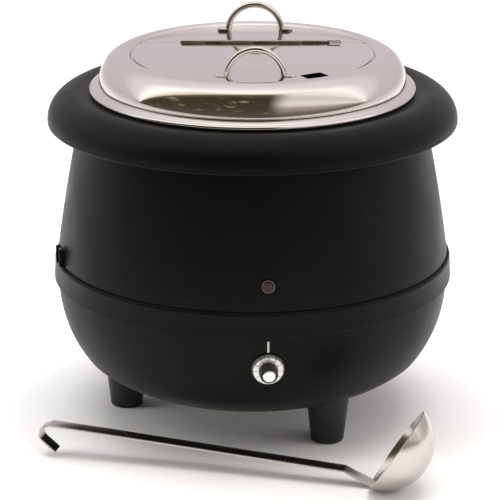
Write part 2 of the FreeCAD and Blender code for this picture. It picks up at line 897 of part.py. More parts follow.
def tie_rods():
    """Long bolts from the feet to brackets under the well: they pull the two
    outer shells together and hang them from the well's flange."""
    rods = []
    nuts = []
    plates = []
    seat = s.rod_head_thick * 2
    for azimuth in foot_azimuths():
        spot = around(s.foot_circle.value, azimuth)
        low = seat - s.rod_head_thick
        shank = cylinder(s.rod_radius, s.rod_top - seat + s.rod_extra, spot.x, spot.y, low)
        head = hexagon(s.rod_head, s.rod_head_thick, spot.x, spot.y, low)
        rods.append(fuse(shank, head))
        lift = s.tie_plate_height
        nut_tall = s.nut_thick - s.nut_trim
        nut = hexagon(s.nut_radius, nut_tall, spot.x, spot.y, lift - nut_tall)
        bore = cylinder(s.rod_radius, s.nut_thick, spot.x, spot.y, lift - s.nut_thick)
        nuts.append(cut(nut, bore))
        plates.append(tie_bracket(azimuth))
    keep(group(rods), "foot_bolts")
    keep(group(nuts), "tie_nuts")
    keep(group(plates), "tie_brackets")


def tie_bracket(azimuth):
    """A Z-shaped strip bolted between the heater plate's edge and a tie rod."""
    turn = Rotation(AXIS_Z, azimuth)
    width = s.strip_breadth.value
    low = s.tie_plate_height.value
    high = s.well_floor.value - s.well_wall.value
    thick = s.tie_plate_thick.value
    inner = s.strip_inner.value
    bend = s.strip_bend.value
    outer = s.strip_outer.value
    outline = [(inner, high - thick), (bend, high - thick), (bend, low), (outer, low),
               (outer, low + thick), (bend + thick, low + thick), (bend + thick, high), (inner, high)]
    points = [Vector(-width / 2, -r, z) for r, z in outline]
    face = Part.Face(Part.makePolygon(points + points[:1]))
    strip = solid(face.extrude(Vector(width, 0, 0)), "tie_strip")
    strip.Placement = Placement(ORIGIN, turn)
    spot = around(s.foot_circle.value, azimuth, low - 1.0)
    return cut(strip, cylinder(s.rod_radius, s.tool_short, spot.x, spot.y, spot.z))


def base():
    plate_top = s.bowl_floor_height
    plate = cylinder(s.base_plate_radius, s.sheet, z=plate_top - s.sheet)
    holes = []
    screws = []
    for angle in ring_angles(s.screw_count.value):
        spot = around(s.screw_circle.value, angle)
        holes.append(cylinder(s.screw_radius, s.tool_short, spot.x, spot.y, plate_top - s.tool_dip))
        shank = cylinder(s.screw_radius, s.shank_long, spot.x, spot.y, plate_top - s.sheet)
        head_low = plate_top - s.sheet - s.head_thick
        head = cylinder(s.screw_head, s.head_thick, spot.x, spot.y, head_low)
        screws.append(fuse(shank, head))
    slots = []
    first = -(s.vent_pitch * (s.vent_count - 1) + s.vent_wide) / 2
    for index in range(int(s.vent_count.value)):
        x = first + s.vent_pitch * index
        low = plate_top - s.tool_dip
        slots.append(box(s.vent_wide, s.vent_long, s.tool_short, x, -s.vent_long / 2, low))
    keep(cut(plate, *holes, *slots), "base_plate")
    keep(group(screws), "base_screws")


# ---- rear and side fittings ----------------------------------------------

def gland_cylinder(radius, start, tall, hexed=False):
    y = s.gland_surface.value + start
    turn = radial(180.0)
    if hexed:
        piece = hexagon(radius, tall)
        return place(piece, 0.0, y, s.gland_height, turn)
    return cylinder(radius, tall, 0.0, y, s.gland_height, turn)


def cable_gland():
    """The supply inlet: a threaded gland through the back of the lower shell."""
    flange = gland_cylinder(s.gland_nut_radius, s.gland_flange_back.value, s.gland_flange_thick, hexed=True)
    dome_radius = s.gland_radius + s.gland_dome_extra
    dome = gland_cylinder(dome_radius, s.gland_dome_start.value, s.gland_dome_long)
    outside = cut(fuse(flange, dome), bowl_blank())
    shank = gland_cylinder(s.gland_radius, s.gland_shank_back.value, s.gland_shank_long)
    bore = gland_cylinder(s.gland_bore, -s.tool_long.value, s.vent_long)
    keep(cut(fuse(outside, shank), bore), "cable_gland")
    nut = gland_cylinder(s.gland_nut_radius, s.gland_nut_back.value, s.gland_nut_thick, hexed=True)
    keep(cut(nut, gland_cylinder(s.gland_radius, -s.tool_long.value, s.tool_low)), "gland_nut")


def terminals():
    seat = s.bowl_floor_height
    x, y = s.terminal_x, s.terminal_y
    block = box(s.terminal_long, s.terminal_deep, s.terminal_tall, x, y, seat + s.sheet * 10)
    holes = []
    screws = []
    low = seat + s.sheet * 10 + s.terminal_tall - s.tool_dip
    middle = y + s.terminal_deep / 2
    for index in range(int(s.terminal_count.value)):
        along = x + s.terminal_first + s.terminal_pitch * index
        holes.append(cylinder(s.terminal_hole, s.tool_short, along, middle, low))
        screws.append(cylinder(s.terminal_hole, s.terminal_screw_long, along, middle, low))
    keep(cut(block, *holes), "terminal_block")
    keep(group(screws), "terminal_screws")
    stand = box(s.terminal_long, s.terminal_deep, s.sheet * 9, x, y, seat + s.sheet)
    floor_clear = pressed("stand_skin", bowl_path()[:3], s.sheet, side=-1)
    keep(cut(stand, floor_clear, outside_bowl()), "terminal_stand")
    stud = cylinder(s.earth_radius, s.earth_long, s.earth_x, s.earth_y, seat + s.sheet)
    nut = hexagon(s.earth_nut, s.earth_nut_thick, s.earth_x, s.earth_y, seat + s.sheet)
    keep(fuse(stud, nut), "earth_stud")


def outside_bowl():
    """All the space below and outside the bowl, for trimming inner pieces."""
    block = box(s.space * 2, s.space * 2, s.flank_top_height, -s.space, -s.space, 0.0)
    return cut(block, bowl_blank())


def lug_frame(start):
    base = around(s.lug_surface.value + start, s.lug_azimuth.value, s.lug_low.value)
    return base, Rotation(AXIS_Z, s.lug_azimuth.value)


def lug_box(wide, tall, start, deep, aside=0.0):
    """A block on the side of the shell; it spans start to start + deep."""
    spot, turn = lug_frame(start)
    block = doc.addObject("Part::Box", "LugBox")
    block.Length, block.Width, block.Height = wide, deep, tall
    shift = turn.multVec(Vector(aside - wide / 2, -deep, 0))
    block.Placement = Placement(spot + shift, turn)
    return block


def lug_rivet(radius, start, tall, side):
    azimuth = s.lug_azimuth.value
    turn = Rotation(AXIS_Z, azimuth)
    spot = around(s.lug_surface.value + start, azimuth, s.lug_low.value + s.lug_tall.value / 2)
    spot = spot + turn.multVec(Vector(0, 0, s.rivet_apart.value * side))
    return cylinder(radius, tall, spot.x, spot.y, spot.z, radial(azimuth))


def side_lug():
    """A small folded steel lug riveted to the side, just above the band."""
    wide, tall, proud = s.lug_wide.value, s.lug_tall.value, s.lug_proud.value
    sheet, sink = s.lug_sheet.value, s.lug_sink.value
    back = lug_box(wide, tall, sink, s.lug_back_deep.value)
    aside = (wide - sheet) / 2
    walls = [lug_box(sheet, tall, sink, proud - sink, aside * side) for side in (-1, 1)]
    skirt = cylinder(s.skirt_radius, s.space, z=s.tool_low)
    holes = [lug_rivet(s.screw_radius, s.tool_back.value, s.tool_long, side) for side in (-1, 1)]
    keep(cut(fuse(back, *walls), skirt, *holes), "side_lug")
    rivets = []
    for side in (-1, 1):
        shank = lug_rivet(s.screw_radius, s.rivet_back.value, s.rivet_long, side)
        head_radius = s.screw_radius + s.rivet_head_thick
        head = lug_rivet(head_radius, s.rivet_head_start.value, s.rivet_head_thick, side)
        rivets.append(fuse(shank, head))
    keep(group(rivets), "lug_rivets")


# ---- pan ------------------------------------------------------------------

def inner_pan():
    corner = s.pan_corner
    path = [
        (s.pan_radius * 0, s.pan_floor),
        (s.pan_radius - corner, s.pan_floor),
        (s.pan_radius - corner * 0.2929, s.pan_floor + corner * 0.2929, "arc"),
        (s.pan_radius, s.pan_floor + corner),
        (s.pan_radius, s.rim_rise),
        (s.pan_radius + s.pan_wall * 1.6, s.rim_top - s.pan_wall, "arc"),
        (s.rim_inner, s.rim_top),
        (s.rim_crown, s.rim_top),
        (s.rim_brow_radius, s.rim_brow_height),
        (s.hem_radius, s.hem_height, "arc"),
        (s.hem_foot_radius, s.hem_foot_height),
        (s.hem_end_radius, s.hem_end_height),
    ]
    keep(pressed("inner_pan", path, s.pan_wall), "inner_pan")


# ---- lid ------------------------------------------------------------------

def notch_tool(low, tall, start, finish):
    """A radial block through the lid's edge, where the ladle's handle passes."""
    turn = Rotation(AXIS_Z, s.notch_azimuth.value)
    block = doc.addObject("Part::Box", "NotchBox")
    bind(block, "Length", s.notch_wide)
    bind(block, "Width", finish - start)
    bind(block, "Height", tall)
    corner = turn.multVec(Vector(-s.notch_wide.value / 2, -finish.value, 0)) + Vector(0, 0, low)
    block.Placement = Placement(corner, turn)
    return block


def lid_dome():
    path = [
        (s.lid_ledge_inner, s.lid_ledge_top),
        (s.recess_radius - s.cove_rise, s.lid_ledge_top),
        (s.recess_radius, s.lid_ledge_top + s.cove_rise),
        (s.cove_radius, s.cove_height, "arc"),
        (s.lid_crest_radius, s.lid_crest_height),
        (s.brow_radius, s.brow_height, "arc"),
        (s.lid_haunch_radius, s.lid_haunch_height),
        (s.lid_radius - s.lid_sheet * 2.7, s.lid_haunch_height - s.lid_sheet * 8.6, "arc"),
        (s.lid_radius, s.lid_seat + s.lid_sheet * 6),
        (s.lid_radius, s.lid_seat + s.lid_sheet * 2),
        (s.lid_radius - s.lid_sheet * 0.6, s.lid_seat + s.lid_sheet * 0.6, "arc"),
        (s.lid_radius - s.lid_sheet * 2, s.lid_seat),
        (s.lid_skirt_radius, s.lid_seat),
        (s.lid_skirt_radius, s.lid_skirt_foot),
    ]
    ring = pressed("lid_ring", path, s.lid_sheet, join="Tangent")
    deck_thick = s.deck_top - s.lid_ledge_top
    disc = cylinder(s.deck_radius, deck_thick, z=s.lid_ledge_top)
    reach = s.deck_radius * 2
    low = s.lid_ledge_top - s.tool_dip
    front = box(reach, reach, s.tool_long, -s.deck_radius, s.hinge_y + s.edge_gap - reach, low)
    slot = hinge_slot(s.slot_reach)
    notch = notch_tool(low.value, s.notch_tall, s.notch_start, s.notch_outer)
    deck = cut(disc, front, slot)
    keep(cut(fuse(ring, deck), notch), "lid_dome")


def hinge_slot(reach):
    """The slot in both sheets that the hinge's barrel stands in."""
    total = s.knuckle * s.knuckle_count + s.fork_long + s.slot_gap * 2
    slot_y = s.hinge_y - reach
    start = s.hinge_left - s.slot_gap
    return box(total, reach * 2, s.slot_tall, start, slot_y, s.lid_ledge_top - s.slot_tall / 2)


def lid_flap():
    disc = cylinder(s.flap_radius, s.flap_thick, z=s.flap_low)
    reach = s.flap_radius * 2
    low = s.flap_low - s.tool_dip
    rear = box(reach, reach, s.tool_short, -s.flap_radius, s.hinge_y - s.edge_gap, low)
    notch = notch_tool(low.value, s.tool_short, s.notch_inner, s.lid_crest_radius)
    keep(cut(disc, rear, hinge_slot(s.slot_reach), notch), "lid_flap")


def handle(label, y, deck):
    """A wire arch that stands on two thin tabs with rounded ends."""
    rod, arch, middle = s.handle_rod, s.handle_arch, s.handle_x
    centre = deck + s.handle_rise - rod - arch
    level = Rotation(Vector(1, 0, 0), 90)
    ring = doc.addObject("Part::Torus", label + "_arch")
    bind(ring, "Radius1", arch)
    bind(ring, "Radius2", rod)
    place(ring, middle, y, centre, level)
    reach = arch * 2
    under = box(reach * 2, reach, reach, middle - reach, y - arch, deck - reach)
    pieces = [cut(ring, under)]
    half = s.tab_wide / 2
    for side in (-1, 1):
        end = middle + (s.tab_reach - half) * side
        pieces.append(cylinder(half, s.tab_thick, end, y, deck))
        long = s.tab_reach - half - arch
        start = end - long if side > 0 else end
        pieces.append(box(long, s.tab_wide, s.tab_thick, start, y - half, deck))
    keep(fuse(*pieces), label)


def knuckles(first, leaf):
    """Every second knuckle of the hinge, each joined to its leaf by a web."""
    pieces = []
    along = Rotation(Vector(0, 1, 0), 90)
    for index in range(first, int(s.knuckle_count.value), 2):
        start = s.hinge_left + s.knuckle * index + s.knuckle_gap / 2
        long = s.knuckle - s.knuckle_gap
        pieces.append(cylinder(s.barrel_radius, long, start, s.hinge_y, s.hinge_height, along))
        web_low = s.flap_low - s.leaf_thick if leaf < 0 else s.lid_ledge_top - s.leaf_thick
        web_y = s.hinge_y - s.web_deep if leaf < 0 else s.hinge_y
        web_tall = s.hinge_height - web_low - s.web_drop
        pieces.append(box(long, s.web_deep, web_tall, start, web_y, web_low))
    return pieces


def hinge():
    along = Rotation(Vector(0, 1, 0), 90)
    total = s.knuckle * s.knuckle_count
    for label, first, leaf, top in (
        ("hinge_moving_leaf", 0, -1, s.flap_low),
        ("hinge_fixed_leaf", 1, 1, s.lid_ledge_top),
    ):
        plate_y = s.hinge_y - s.leaf_deep if leaf < 0 else s.hinge_y + s.leaf_start
        plate_deep = s.leaf_deep - s.leaf_start
        plate_low = top - s.leaf_thick
        plate = box(total, plate_deep, s.leaf_thick, s.hinge_left, plate_y, plate_low)
        gauge_left = s.hinge_left - total / 2
        gauge = box(total * 2, s.tool_low, s.tool_dip, gauge_left, gauge_y(leaf), top)
        barrel = fuse(*knuckles(first, leaf), plate)
        radius = s.pin_hole if leaf < 0 else s.pin_radius
        bore_long = total + s.tool_short
        bore_left = s.hinge_left - s.tool_dip
        bore = cylinder(radius, bore_long, bore_left, s.hinge_y, s.hinge_height, along)
        keep(cut(barrel, gauge, bore), label)
    keep(split_pin(total), "hinge_pin")


def split_pin(total):
    """The hinge's pin, whose right end opens into two flat tips."""
    along = Rotation(Vector(0, 1, 0), 90)
    end = s.hinge_left + total + s.yoke_long
    pin_long = total + s.yoke_long
    pin = cylinder(s.pin_radius, pin_long, s.hinge_left, s.hinge_y, s.hinge_height, along)
    near = s.hinge_y - s.fork_deep / 2
    low = s.hinge_height - s.fork_half
    tips = []
    for tip_low in (s.hinge_height + s.fork_tip_low, low):
        tips.append(box(s.fork_long - s.yoke_long, s.fork_deep, s.fork_tip, end, near, tip_low))
    yoke = box(s.yoke_long, s.fork_deep, s.fork_half * 2, end - s.yoke_long / 2, near, low)
    return fuse(pin, yoke, *tips)


def gauge_y(leaf):
    """Where the sheet beside the barrel begins, which the webs stay clear of."""
    return s.hinge_y - s.tool_low - s.slot_reach if leaf < 0 else s.hinge_y + s.slot_reach


# ---- ladle ----------------------------------------------------------------

def ladle():
    """The ladle lies on the floor: a deep round bowl leaning on its side and a
    flat strip handle that ends in a hook. It is drawn along +X from the joint
    of handle and bowl, then turned to lie in front of the kettle."""
    wide, thick = s.strip_wide.value, s.strip_thick.value
    side = Vector(0, -wide / 2, 0)
    line = [(-5.0, 1.15), (25.0, 14.6), (304.0, 31.0), (312.0, 31.4), (321.6, 28.0),
            (322.6, 18.0), (307.0, 5.0)]
    centre = [Vector(x, 0, z) for x, z in line]
    run = smooth_run(centre, 6.0)
    start = centre[0]
    onward = (centre[1] - centre[0]).normalize()
    up = Vector(-onward.z, 0, onward.x)
    corners = [start + side - up * (thick / 2), start - side - up * (thick / 2)]
    corners += [start - side + up * (thick / 2), start + side + up * (thick / 2)]
    section = Part.makePolygon(corners + corners[:1])
    strip = swept(section, run, "ladle_strip")
    lie = Placement(Vector(s.ladle_x.value, s.ladle_y.value, 0), Rotation(AXIS_Z, s.ladle_turn.value))
    radius, deep, wall = s.ladle_bowl_radius.value, s.ladle_bowl_deep.value, s.ladle_wall.value
    ball = (radius ** 2 + deep ** 2) / (2 * deep)
    outer = Part.makeSphere(ball, Vector(0, 0, ball - deep))
    inner = Part.makeSphere(ball - wall, Vector(0, 0, ball - deep))
    wide_box = s.space.value
    keep_low = Part.makeBox(wide_box, wide_box, deep, Vector(-wide_box / 2, -wide_box / 2, -deep))
    cup = outer.cut(inner).common(keep_low)
    lean = Rotation(Vector(0, 1, 0), s.ladle_lean.value)
    turned_cup = cup.copy()
    turned_cup.Placement = Placement(ORIGIN, lean)
    rim_point = lean.multVec(Vector(radius, 0, 0))
    shift = Vector(0, 0, 2.2) - rim_point
    turned_cup.translate(shift)
    bowl = solid(turned_cup, "ladle_cup")
    bowl.Placement = lie.multiply(bowl.Placement)
    keep(bowl, "ladle_bowl")
    strip.Placement = lie
    keep(strip, "ladle_handle")


def build():
    upper_shell()
    lower_shell()
    collar()
    collar_screws()
    well()
    heater()
    thermostat()
    knob()
    index_mark()
    sensor()
    pilot_lamp()
    feet()
    tie_rods()
    base()
    cable_gland()
    terminals()
    side_lug()
    inner_pan()
    lid_dome()
    lid_flap()
    handle("rear_handle", s.rear_handle_y, s.deck_top)
    handle("front_handle", s.front_handle_y, s.flap_low + s.flap_thick)
    hinge()
    ladle()


def check():
    """Stops on any failed object or on a sub-part whose shape isn't sound."""
    for item in doc.Objects:
        if "Invalid" in item.State or "Error" in item.State:
            raise RuntimeError(f"{item.Label} failed: {item.State}")
    for piece in nodes:
        if piece.Shape.isNull() or not piece.Shape.isValid():
            raise RuntimeError(f"{piece.Label} has no sound shape")


def write():
    os.makedirs("parts", exist_ok=True)
    for piece in nodes:
        piece.Shape.exportStep(os.path.join("parts", piece.Label + ".step"))
        print(piece.Label, len(piece.Shape.Solids), round(piece.Shape.Volume, 1))


build()
doc.recompute()
check()
write()
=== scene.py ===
import json
import math

import bmesh
import bpy
from mathutils import Matrix, Vector


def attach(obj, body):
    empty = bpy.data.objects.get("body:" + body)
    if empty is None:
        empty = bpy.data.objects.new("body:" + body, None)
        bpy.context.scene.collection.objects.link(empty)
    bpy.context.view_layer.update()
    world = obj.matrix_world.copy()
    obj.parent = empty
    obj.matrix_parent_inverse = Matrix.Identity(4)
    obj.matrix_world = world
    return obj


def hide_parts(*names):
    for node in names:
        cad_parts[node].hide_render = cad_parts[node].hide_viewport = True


# Electric soup kettle with a lift-out pan, a flap lid and a ladle. Meshes are in metres, in the
# CAD frame: origin on the kettle's axis at floor level, +Z up, the knob faces -Y. Profiles are
# lists of (radius, height) in millimetres, which trace() turns into metres.

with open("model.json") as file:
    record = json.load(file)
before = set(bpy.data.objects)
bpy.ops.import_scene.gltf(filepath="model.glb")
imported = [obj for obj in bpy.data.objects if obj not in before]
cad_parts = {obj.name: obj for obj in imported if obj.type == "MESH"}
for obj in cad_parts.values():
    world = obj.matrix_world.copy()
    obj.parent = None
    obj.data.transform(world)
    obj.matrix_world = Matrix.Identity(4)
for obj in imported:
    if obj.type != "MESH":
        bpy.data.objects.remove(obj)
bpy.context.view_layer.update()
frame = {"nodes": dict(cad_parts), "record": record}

MM = 0.001
TURNS = 224            # divisions round the kettle
ARC_STEPS = 14         # divisions of one drawn arc
SHARP_EDGE = math.radians(34)
MERGE_DIGITS = 7       # decimals of a metre within which points are one
FULL_TURN = 2 * math.pi


# ---- mesh helpers ---------------------------------------------------------

def make_object(name, verts, faces):
    """A smooth-shaded object whose edges steeper than SHARP_EDGE stay sharp."""
    mesh = bpy.data.meshes.new(name)
    mesh.from_pydata([tuple(v) for v in verts], [], faces)
    bm = bmesh.new()
    bm.from_mesh(mesh)
    bmesh.ops.recalc_face_normals(bm, faces=bm.faces)
    bm.to_mesh(mesh)
    bm.free()
    mesh.polygons.foreach_set("use_smooth", [True] * len(mesh.polygons))
    mesh.set_sharp_from_angle(angle=SHARP_EDGE)
    obj = bpy.data.objects.new(name, mesh)
    bpy.context.scene.collection.objects.link(obj)
    return obj


def join_parts(name, parts):
    """Joins (verts, faces) pairs into one object."""
    verts, faces = [], []
    for part_verts, part_faces in parts:
        first = len(verts)
        verts.extend(part_verts)
        faces.extend([tuple(first + i for i in face) for face in part_faces])
    return make_object(name, verts, faces)


def three_point_arc(start, middle, end, steps=ARC_STEPS):
    """Points along the arc through three points, without the first."""
    ax, ay = start
    bx, by = middle
    cx, cy = end
    d = 2 * (ax * (by - cy) + bx * (cy - ay) + cx * (ay - by))
    ux = ((ax * ax + ay * ay) * (by - cy) + (bx * bx + by * by) * (cy - ay)
          + (cx * cx + cy * cy) * (ay - by)) / d
    uy = ((ax * ax + ay * ay) * (cx - bx) + (bx * bx + by * by) * (ax - cx)
          + (cx * cx + cy * cy) * (bx - ax)) / d
    radius = math.hypot(ax - ux, ay - uy)
    first = math.atan2(ay - uy, ax - ux)
    mid = (math.atan2(by - uy, bx - ux) - first) % (2 * math.pi)
    sweep = (math.atan2(cy - uy, cx - ux) - first) % (2 * math.pi)
    if mid > sweep:
        sweep -= 2 * math.pi
    return [
        (ux + radius * math.cos(first + sweep * k / steps),
         uy + radius * math.sin(first + sweep * k / steps))
        for k in range(1, steps + 1)
    ]


def trace(path, steps=ARC_STEPS):
    """Samples a path of points in millimetres; a point marked "arc" is an arc's middle."""
    points = [tuple(c * MM for c in path[0][:2])]
    index = 1
    while index < len(path):
        here = tuple(c * MM for c in path[index][:2])
        if len(path[index]) == 3:
            after = tuple(c * MM for c in path[index + 1][:2])
            points.extend(three_point_arc(points[-1], here, after, steps))
            index += 2
        else:
            points.append(here)
            index += 1
    return points


def offset_line(points, distance):
    """The line moved sideways by a distance; positive is to its right."""
    moved = []
    for i, (x, y) in enumerate(points):
        before = points[max(i - 1, 0)]
        after = points[min(i + 1, len(points) - 1)]
        normals = []
        for a, b in ((before, (x, y)), ((x, y), after)):
            length = math.hypot(b[0] - a[0], b[1] - a[1])
            if length > 1e-9:
                normals.append(((b[1] - a[1]) / length, -(b[0] - a[0]) / length))
        nx = sum(n[0] for n in normals) / len(normals)
        ny = sum(n[1] for n in normals) / len(normals)
        size = max(nx * nx + ny * ny, 0.4)
        moved.append((x + nx / size * distance, y + ny / size * distance))
    return moved


def rounded_end(a, b, away, steps=4):
    """A half-round sheet edge from a to b, bulging along away by half the sheet."""
    mid = ((a[0] + b[0]) / 2, (a[1] + b[1]) / 2)
    half = math.hypot(b[0] - a[0], b[1] - a[1]) / 2
    size = math.hypot(*away)
    ox, oy = away[0] / size, away[1] / size
    dx, dy = (a[0] - mid[0]) / half, (a[1] - mid[1]) / half
    out = []
    for k in range(1, steps):
        t = math.pi * k / steps
        out.append((mid[0] + half * (dx * math.cos(t) + ox * math.sin(t)),
                    mid[1] + half * (dy * math.cos(t) + oy * math.sin(t))))
    return out


def turn_loop(loop, closed=True, turns=TURNS, start=0.0, sweep=FULL_TURN):
    """Spins a profile about the Z axis. A part turn gets flat end caps."""
    full = sweep == FULL_TURN
    rows = turns if full else max(int(turns * sweep / FULL_TURN), 2) + 1
    verts, faces = [], []
    for row in range(rows):
        angle = start + sweep * row / (rows if full else rows - 1)
        sin, cos = math.sin(angle), math.cos(angle)
        verts.extend([Vector((r * sin, -r * cos, z)) for r, z in loop])
    size = len(loop)
    spans = size if closed else size - 1
    for row in range(rows if full else rows - 1):
        a, b = row * size, ((row + 1) % rows) * size
        for i in range(spans):
            j = (i + 1) % size
            faces.append((a + i, a + j, b + j, b + i))
    if not full:
        faces.append(tuple(range(size)))
        faces.append(tuple(reversed(range((rows - 1) * size, rows * size))))
    return clean(verts, faces)


def clean(verts, faces):
    """Merges the points that meet on the axis and drops collapsed faces."""
    keys, order, remap = {}, [], []
    for v in verts:
        key = tuple(round(c, MERGE_DIGITS) for c in v)
        if key not in keys:
            keys[key] = len(order)
            order.append(v)
        remap.append(keys[key])
    kept = []
    for face in faces:
        corners = []
        for i in face:
            if not corners or remap[i] != corners[-1]:
                corners.append(remap[i])
        if len(corners) > 1 and corners[0] == corners[-1]:
            corners.pop()
        if len(set(corners)) >= 3:
            kept.append(tuple(corners))
    return order, kept


def sheet_loop(path, thickness, side=1, steps=ARC_STEPS, round_ends=(True, True)):
    """The closed section of a pressed sheet: a path, its offset and round edges."""
    line = trace(path, steps)
    other = offset_line(line, thickness * MM * side)
    loop = list(line)
    if round_ends[1]:
        away = (line[-1][0] - line[-2][0], line[-1][1] - line[-2][1])
        loop += rounded_end(line[-1], other[-1], away)
    loop += list(reversed(other))
    if round_ends[0]:
        away = (line[0][0] - line[1][0], line[0][1] - line[1][1])
        loop += rounded_end(other[0], line[0], away)
    return loop


def pressed(name, path, thickness, side=1, steps=ARC_STEPS, round_ends=(True, True)):
    loop = sheet_loop(path, thickness, side, steps, round_ends)
    verts, faces = turn_loop(loop)
    return make_object(name, verts, faces)


def plate(outline, low, high, edge=0.25 * MM, steps=3):
    """A flat plate with rounded edges from a list of outline points (x, y)."""
    rings = []
    for k in range(steps + 1):
        t = math.pi / 2 * k / steps
        rings.append((edge * (1 - math.sin(t)), high - edge * (1 - math.cos(t))))
    levels = [(edge, low), (0.0, low + edge)] + list(reversed(rings))
    verts, faces = [], []
    size = len(outline)
    for shrink, z in levels:
        inner = shrink_outline(outline, shrink)
        verts.extend([Vector((x, y, z)) for x, y in inner])
    for level in range(len(levels) - 1):
        a, b = level * size, (level + 1) * size
        for i in range(size):
            j = (i + 1) % size
            faces.append((a + i, a + j, b + j, b + i))
    faces.append(tuple(reversed(range(size))))
    faces.append(tuple(range((len(levels) - 1) * size, len(levels) * size)))
    return verts, faces


def shrink_outline(outline, distance):
    """The outline moved inwards; outlines run anticlockwise."""
    if distance == 0:
        return list(outline)
    size = len(outline)
    moved = []
    for i, (x, y) in enumerate(outline):
        ax, ay = outline[i - 1]
        bx, by = outline[(i + 1) % size]
        n1 = (-(y - ay), x - ax)
        n2 = (-(by - y), bx - x)
        l1 = math.hypot(*n1) or 1.0
        l2 = math.hypot(*n2) or 1.0
        nx, ny = n1[0] / l1 + n2[0] / l2, n1[1] / l1 + n2[1] / l2
        size_n = max((nx * nx + ny * ny) / 2, 0.4)
        moved.append((x + nx / size_n * distance, y + ny / size_n * distance))
    return moved


def sweep_section(centres, section, side_axis):
    """Sweeps a closed section of (across, along side_axis) points along a line of
    centres that lies in the plane square to side_axis."""
    verts, faces = [], []
    count = len(centres)
    for i, centre in enumerate(centres):
        forward = (centres[min(i + 1, count - 1)] - centres[max(i - 1, 0)]).normalized()
        across = side_axis.cross(forward).normalized()
        verts.extend([centre + across * a + side_axis * b for a, b in section])
    size = len(verts) // count
    for i in range(count - 1):
        a, b = i * size, (i + 1) * size
        for k in range(size):
            j = (k + 1) % size
            faces.append((a + k, a + j, b + j, b + k))
    faces.append(tuple(range(size)))
    faces.append(tuple(reversed(range((count - 1) * size, count * size))))
    return verts, faces


def round_section(radius, count):
    steps = [FULL_TURN * k / count for k in range(count)]
    return [(radius * math.cos(t), radius * math.sin(t)) for t in steps]


def strip_section(thick, wide, corner, steps=3):
    """A flat bar's section with rounded corners, as (across, side) points."""
    points = []
    for cx, cy, first in ((1, 1, 0), (-1, 1, 90), (-1, -1, 180), (1, -1, 270)):
        for k in range(steps + 1):
            t = math.radians(first + 90 * k / steps)
            points.append((cx * (thick / 2 - corner) + corner * math.cos(t),
                           cy * (wide / 2 - corner) + corner * math.sin(t)))
    return points


def smooth_line(points, bend, steps=10):
    """Straight runs joined by tangent arcs of one bend radius, as points."""
    line = [points[0]]
    for before, corner, after in zip(points, points[1:], points[2:]):
        back = (before - corner).normalized()
        onward = (after - corner).normalized()
        half = (math.pi - back.angle(onward)) / 2
        reach = bend * math.tan(half)
        centre = corner + (back + onward).normalized() * (bend / math.cos(half))
        first = corner + back * reach - centre
        last = corner + onward * reach - centre
        for k in range(steps + 1):
            share = k / steps
            turn = first.lerp(last, share).normalized() * bend
            line.append(centre + turn)
    line.append(points[-1])
    return line


def on_body(obj, body, node, material):
    """Puts a new piece on its body, hides the CAD node that it stands in for, and gives it its material."""
    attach(obj, body)
    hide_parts(node)
    obj.data.materials.clear()
    obj.data.materials.append(material)
    return obj


# ---- materials ------------------------------------------------------------

class Shader:
    """A node material under construction."""

    def __init__(self, name):
        self.material = bpy.data.materials.new(name)
        self.material.use_nodes = True
        self.tree = self.material.node_tree
        self.shader = self.tree.nodes["Principled BSDF"]
        self.place = self.node("ShaderNodeTexCoord").outputs["Object"]

    def node(self, kind, **values):
        made = self.tree.nodes.new(kind)
        for key, value in values.items():
            if hasattr(made, key):
                setattr(made, key, value)
            else:
                made.inputs[key].default_value = value
        return made

    def link(self, source, target):
        self.tree.links.new(source, target)

    def set(self, **values):
        for key, value in values.items():
            self.shader.inputs[key.replace("_", " ")].default_value = value
        return self

    def scaled(self, scale):
        mapping = self.node("ShaderNodeMapping")
        mapping.inputs["Scale"].default_value = scale
        self.link(self.place, mapping.inputs["Vector"])
        return mapping.outputs["Vector"]

    def noise(self, scale, detail=3.0, rough=0.5, vector=None):
        made = self.node("ShaderNodeTexNoise", Scale=scale, Detail=detail, Roughness=rough)
        self.link(vector or self.place, made.inputs["Vector"])
        return made.outputs["Fac"]

    def ramp(self, factor, low, high, start=0.3, end=0.7):
        made = self.node("ShaderNodeMapRange")
        made.inputs["From Min"].default_value = start
        made.inputs["From Max"].default_value = end
        made.inputs["To Min"].default_value = low
        made.inputs["To Max"].default_value = high
        self.link(factor, made.inputs["Value"])
        return made.outputs["Result"]

    def blend(self, factor, low, high, start=0.35, end=0.65):
        made = self.node("ShaderNodeValToRGB")
        made.color_ramp.elements[0].position = start
        made.color_ramp.elements[1].position = end
        made.color_ramp.elements[0].color = (*low, 1)
        made.color_ramp.elements[1].color = (*high, 1)
        self.link(factor, made.inputs["Fac"])
        return made.outputs["Color"]

    def color(self, output):
        self.link(output, self.shader.inputs["Base Color"])
        return self

    def roughness(self, output):
        self.link(output, self.shader.inputs["Roughness"])
        return self

    def bump(self, height, distance, strength=1.0):
        made = self.node("ShaderNodeBump", Distance=distance, Strength=strength)
        self.link(height, made.inputs["Height"])
        previous = self.shader.inputs["Normal"]
        if previous.is_linked:
            self.link(previous.links[0].from_socket, made.inputs["Normal"])
        self.link(made.outputs["Normal"], previous)
        return self

    def rings(self):
        """Distance from the Z axis, for spun metal's fine circles."""
        split = self.node("ShaderNodeSeparateXYZ")
        self.link(self.place, split.inputs["Vector"])
        flat = self.node("ShaderNodeCombineXYZ")
        self.link(split.outputs["X"], flat.inputs["X"])
        self.link(split.outputs["Y"], flat.inputs["Y"])
        length = self.node("ShaderNodeVectorMath", operation="LENGTH")
        self.link(flat.outputs["Vector"], length.inputs[0])
        spread = self.node("ShaderNodeCombineXYZ")
        self.link(length.outputs["Value"], spread.inputs["X"])
        self.link(split.outputs["Z"], spread.inputs["Z"])
        return spread.outputs["Vector"]


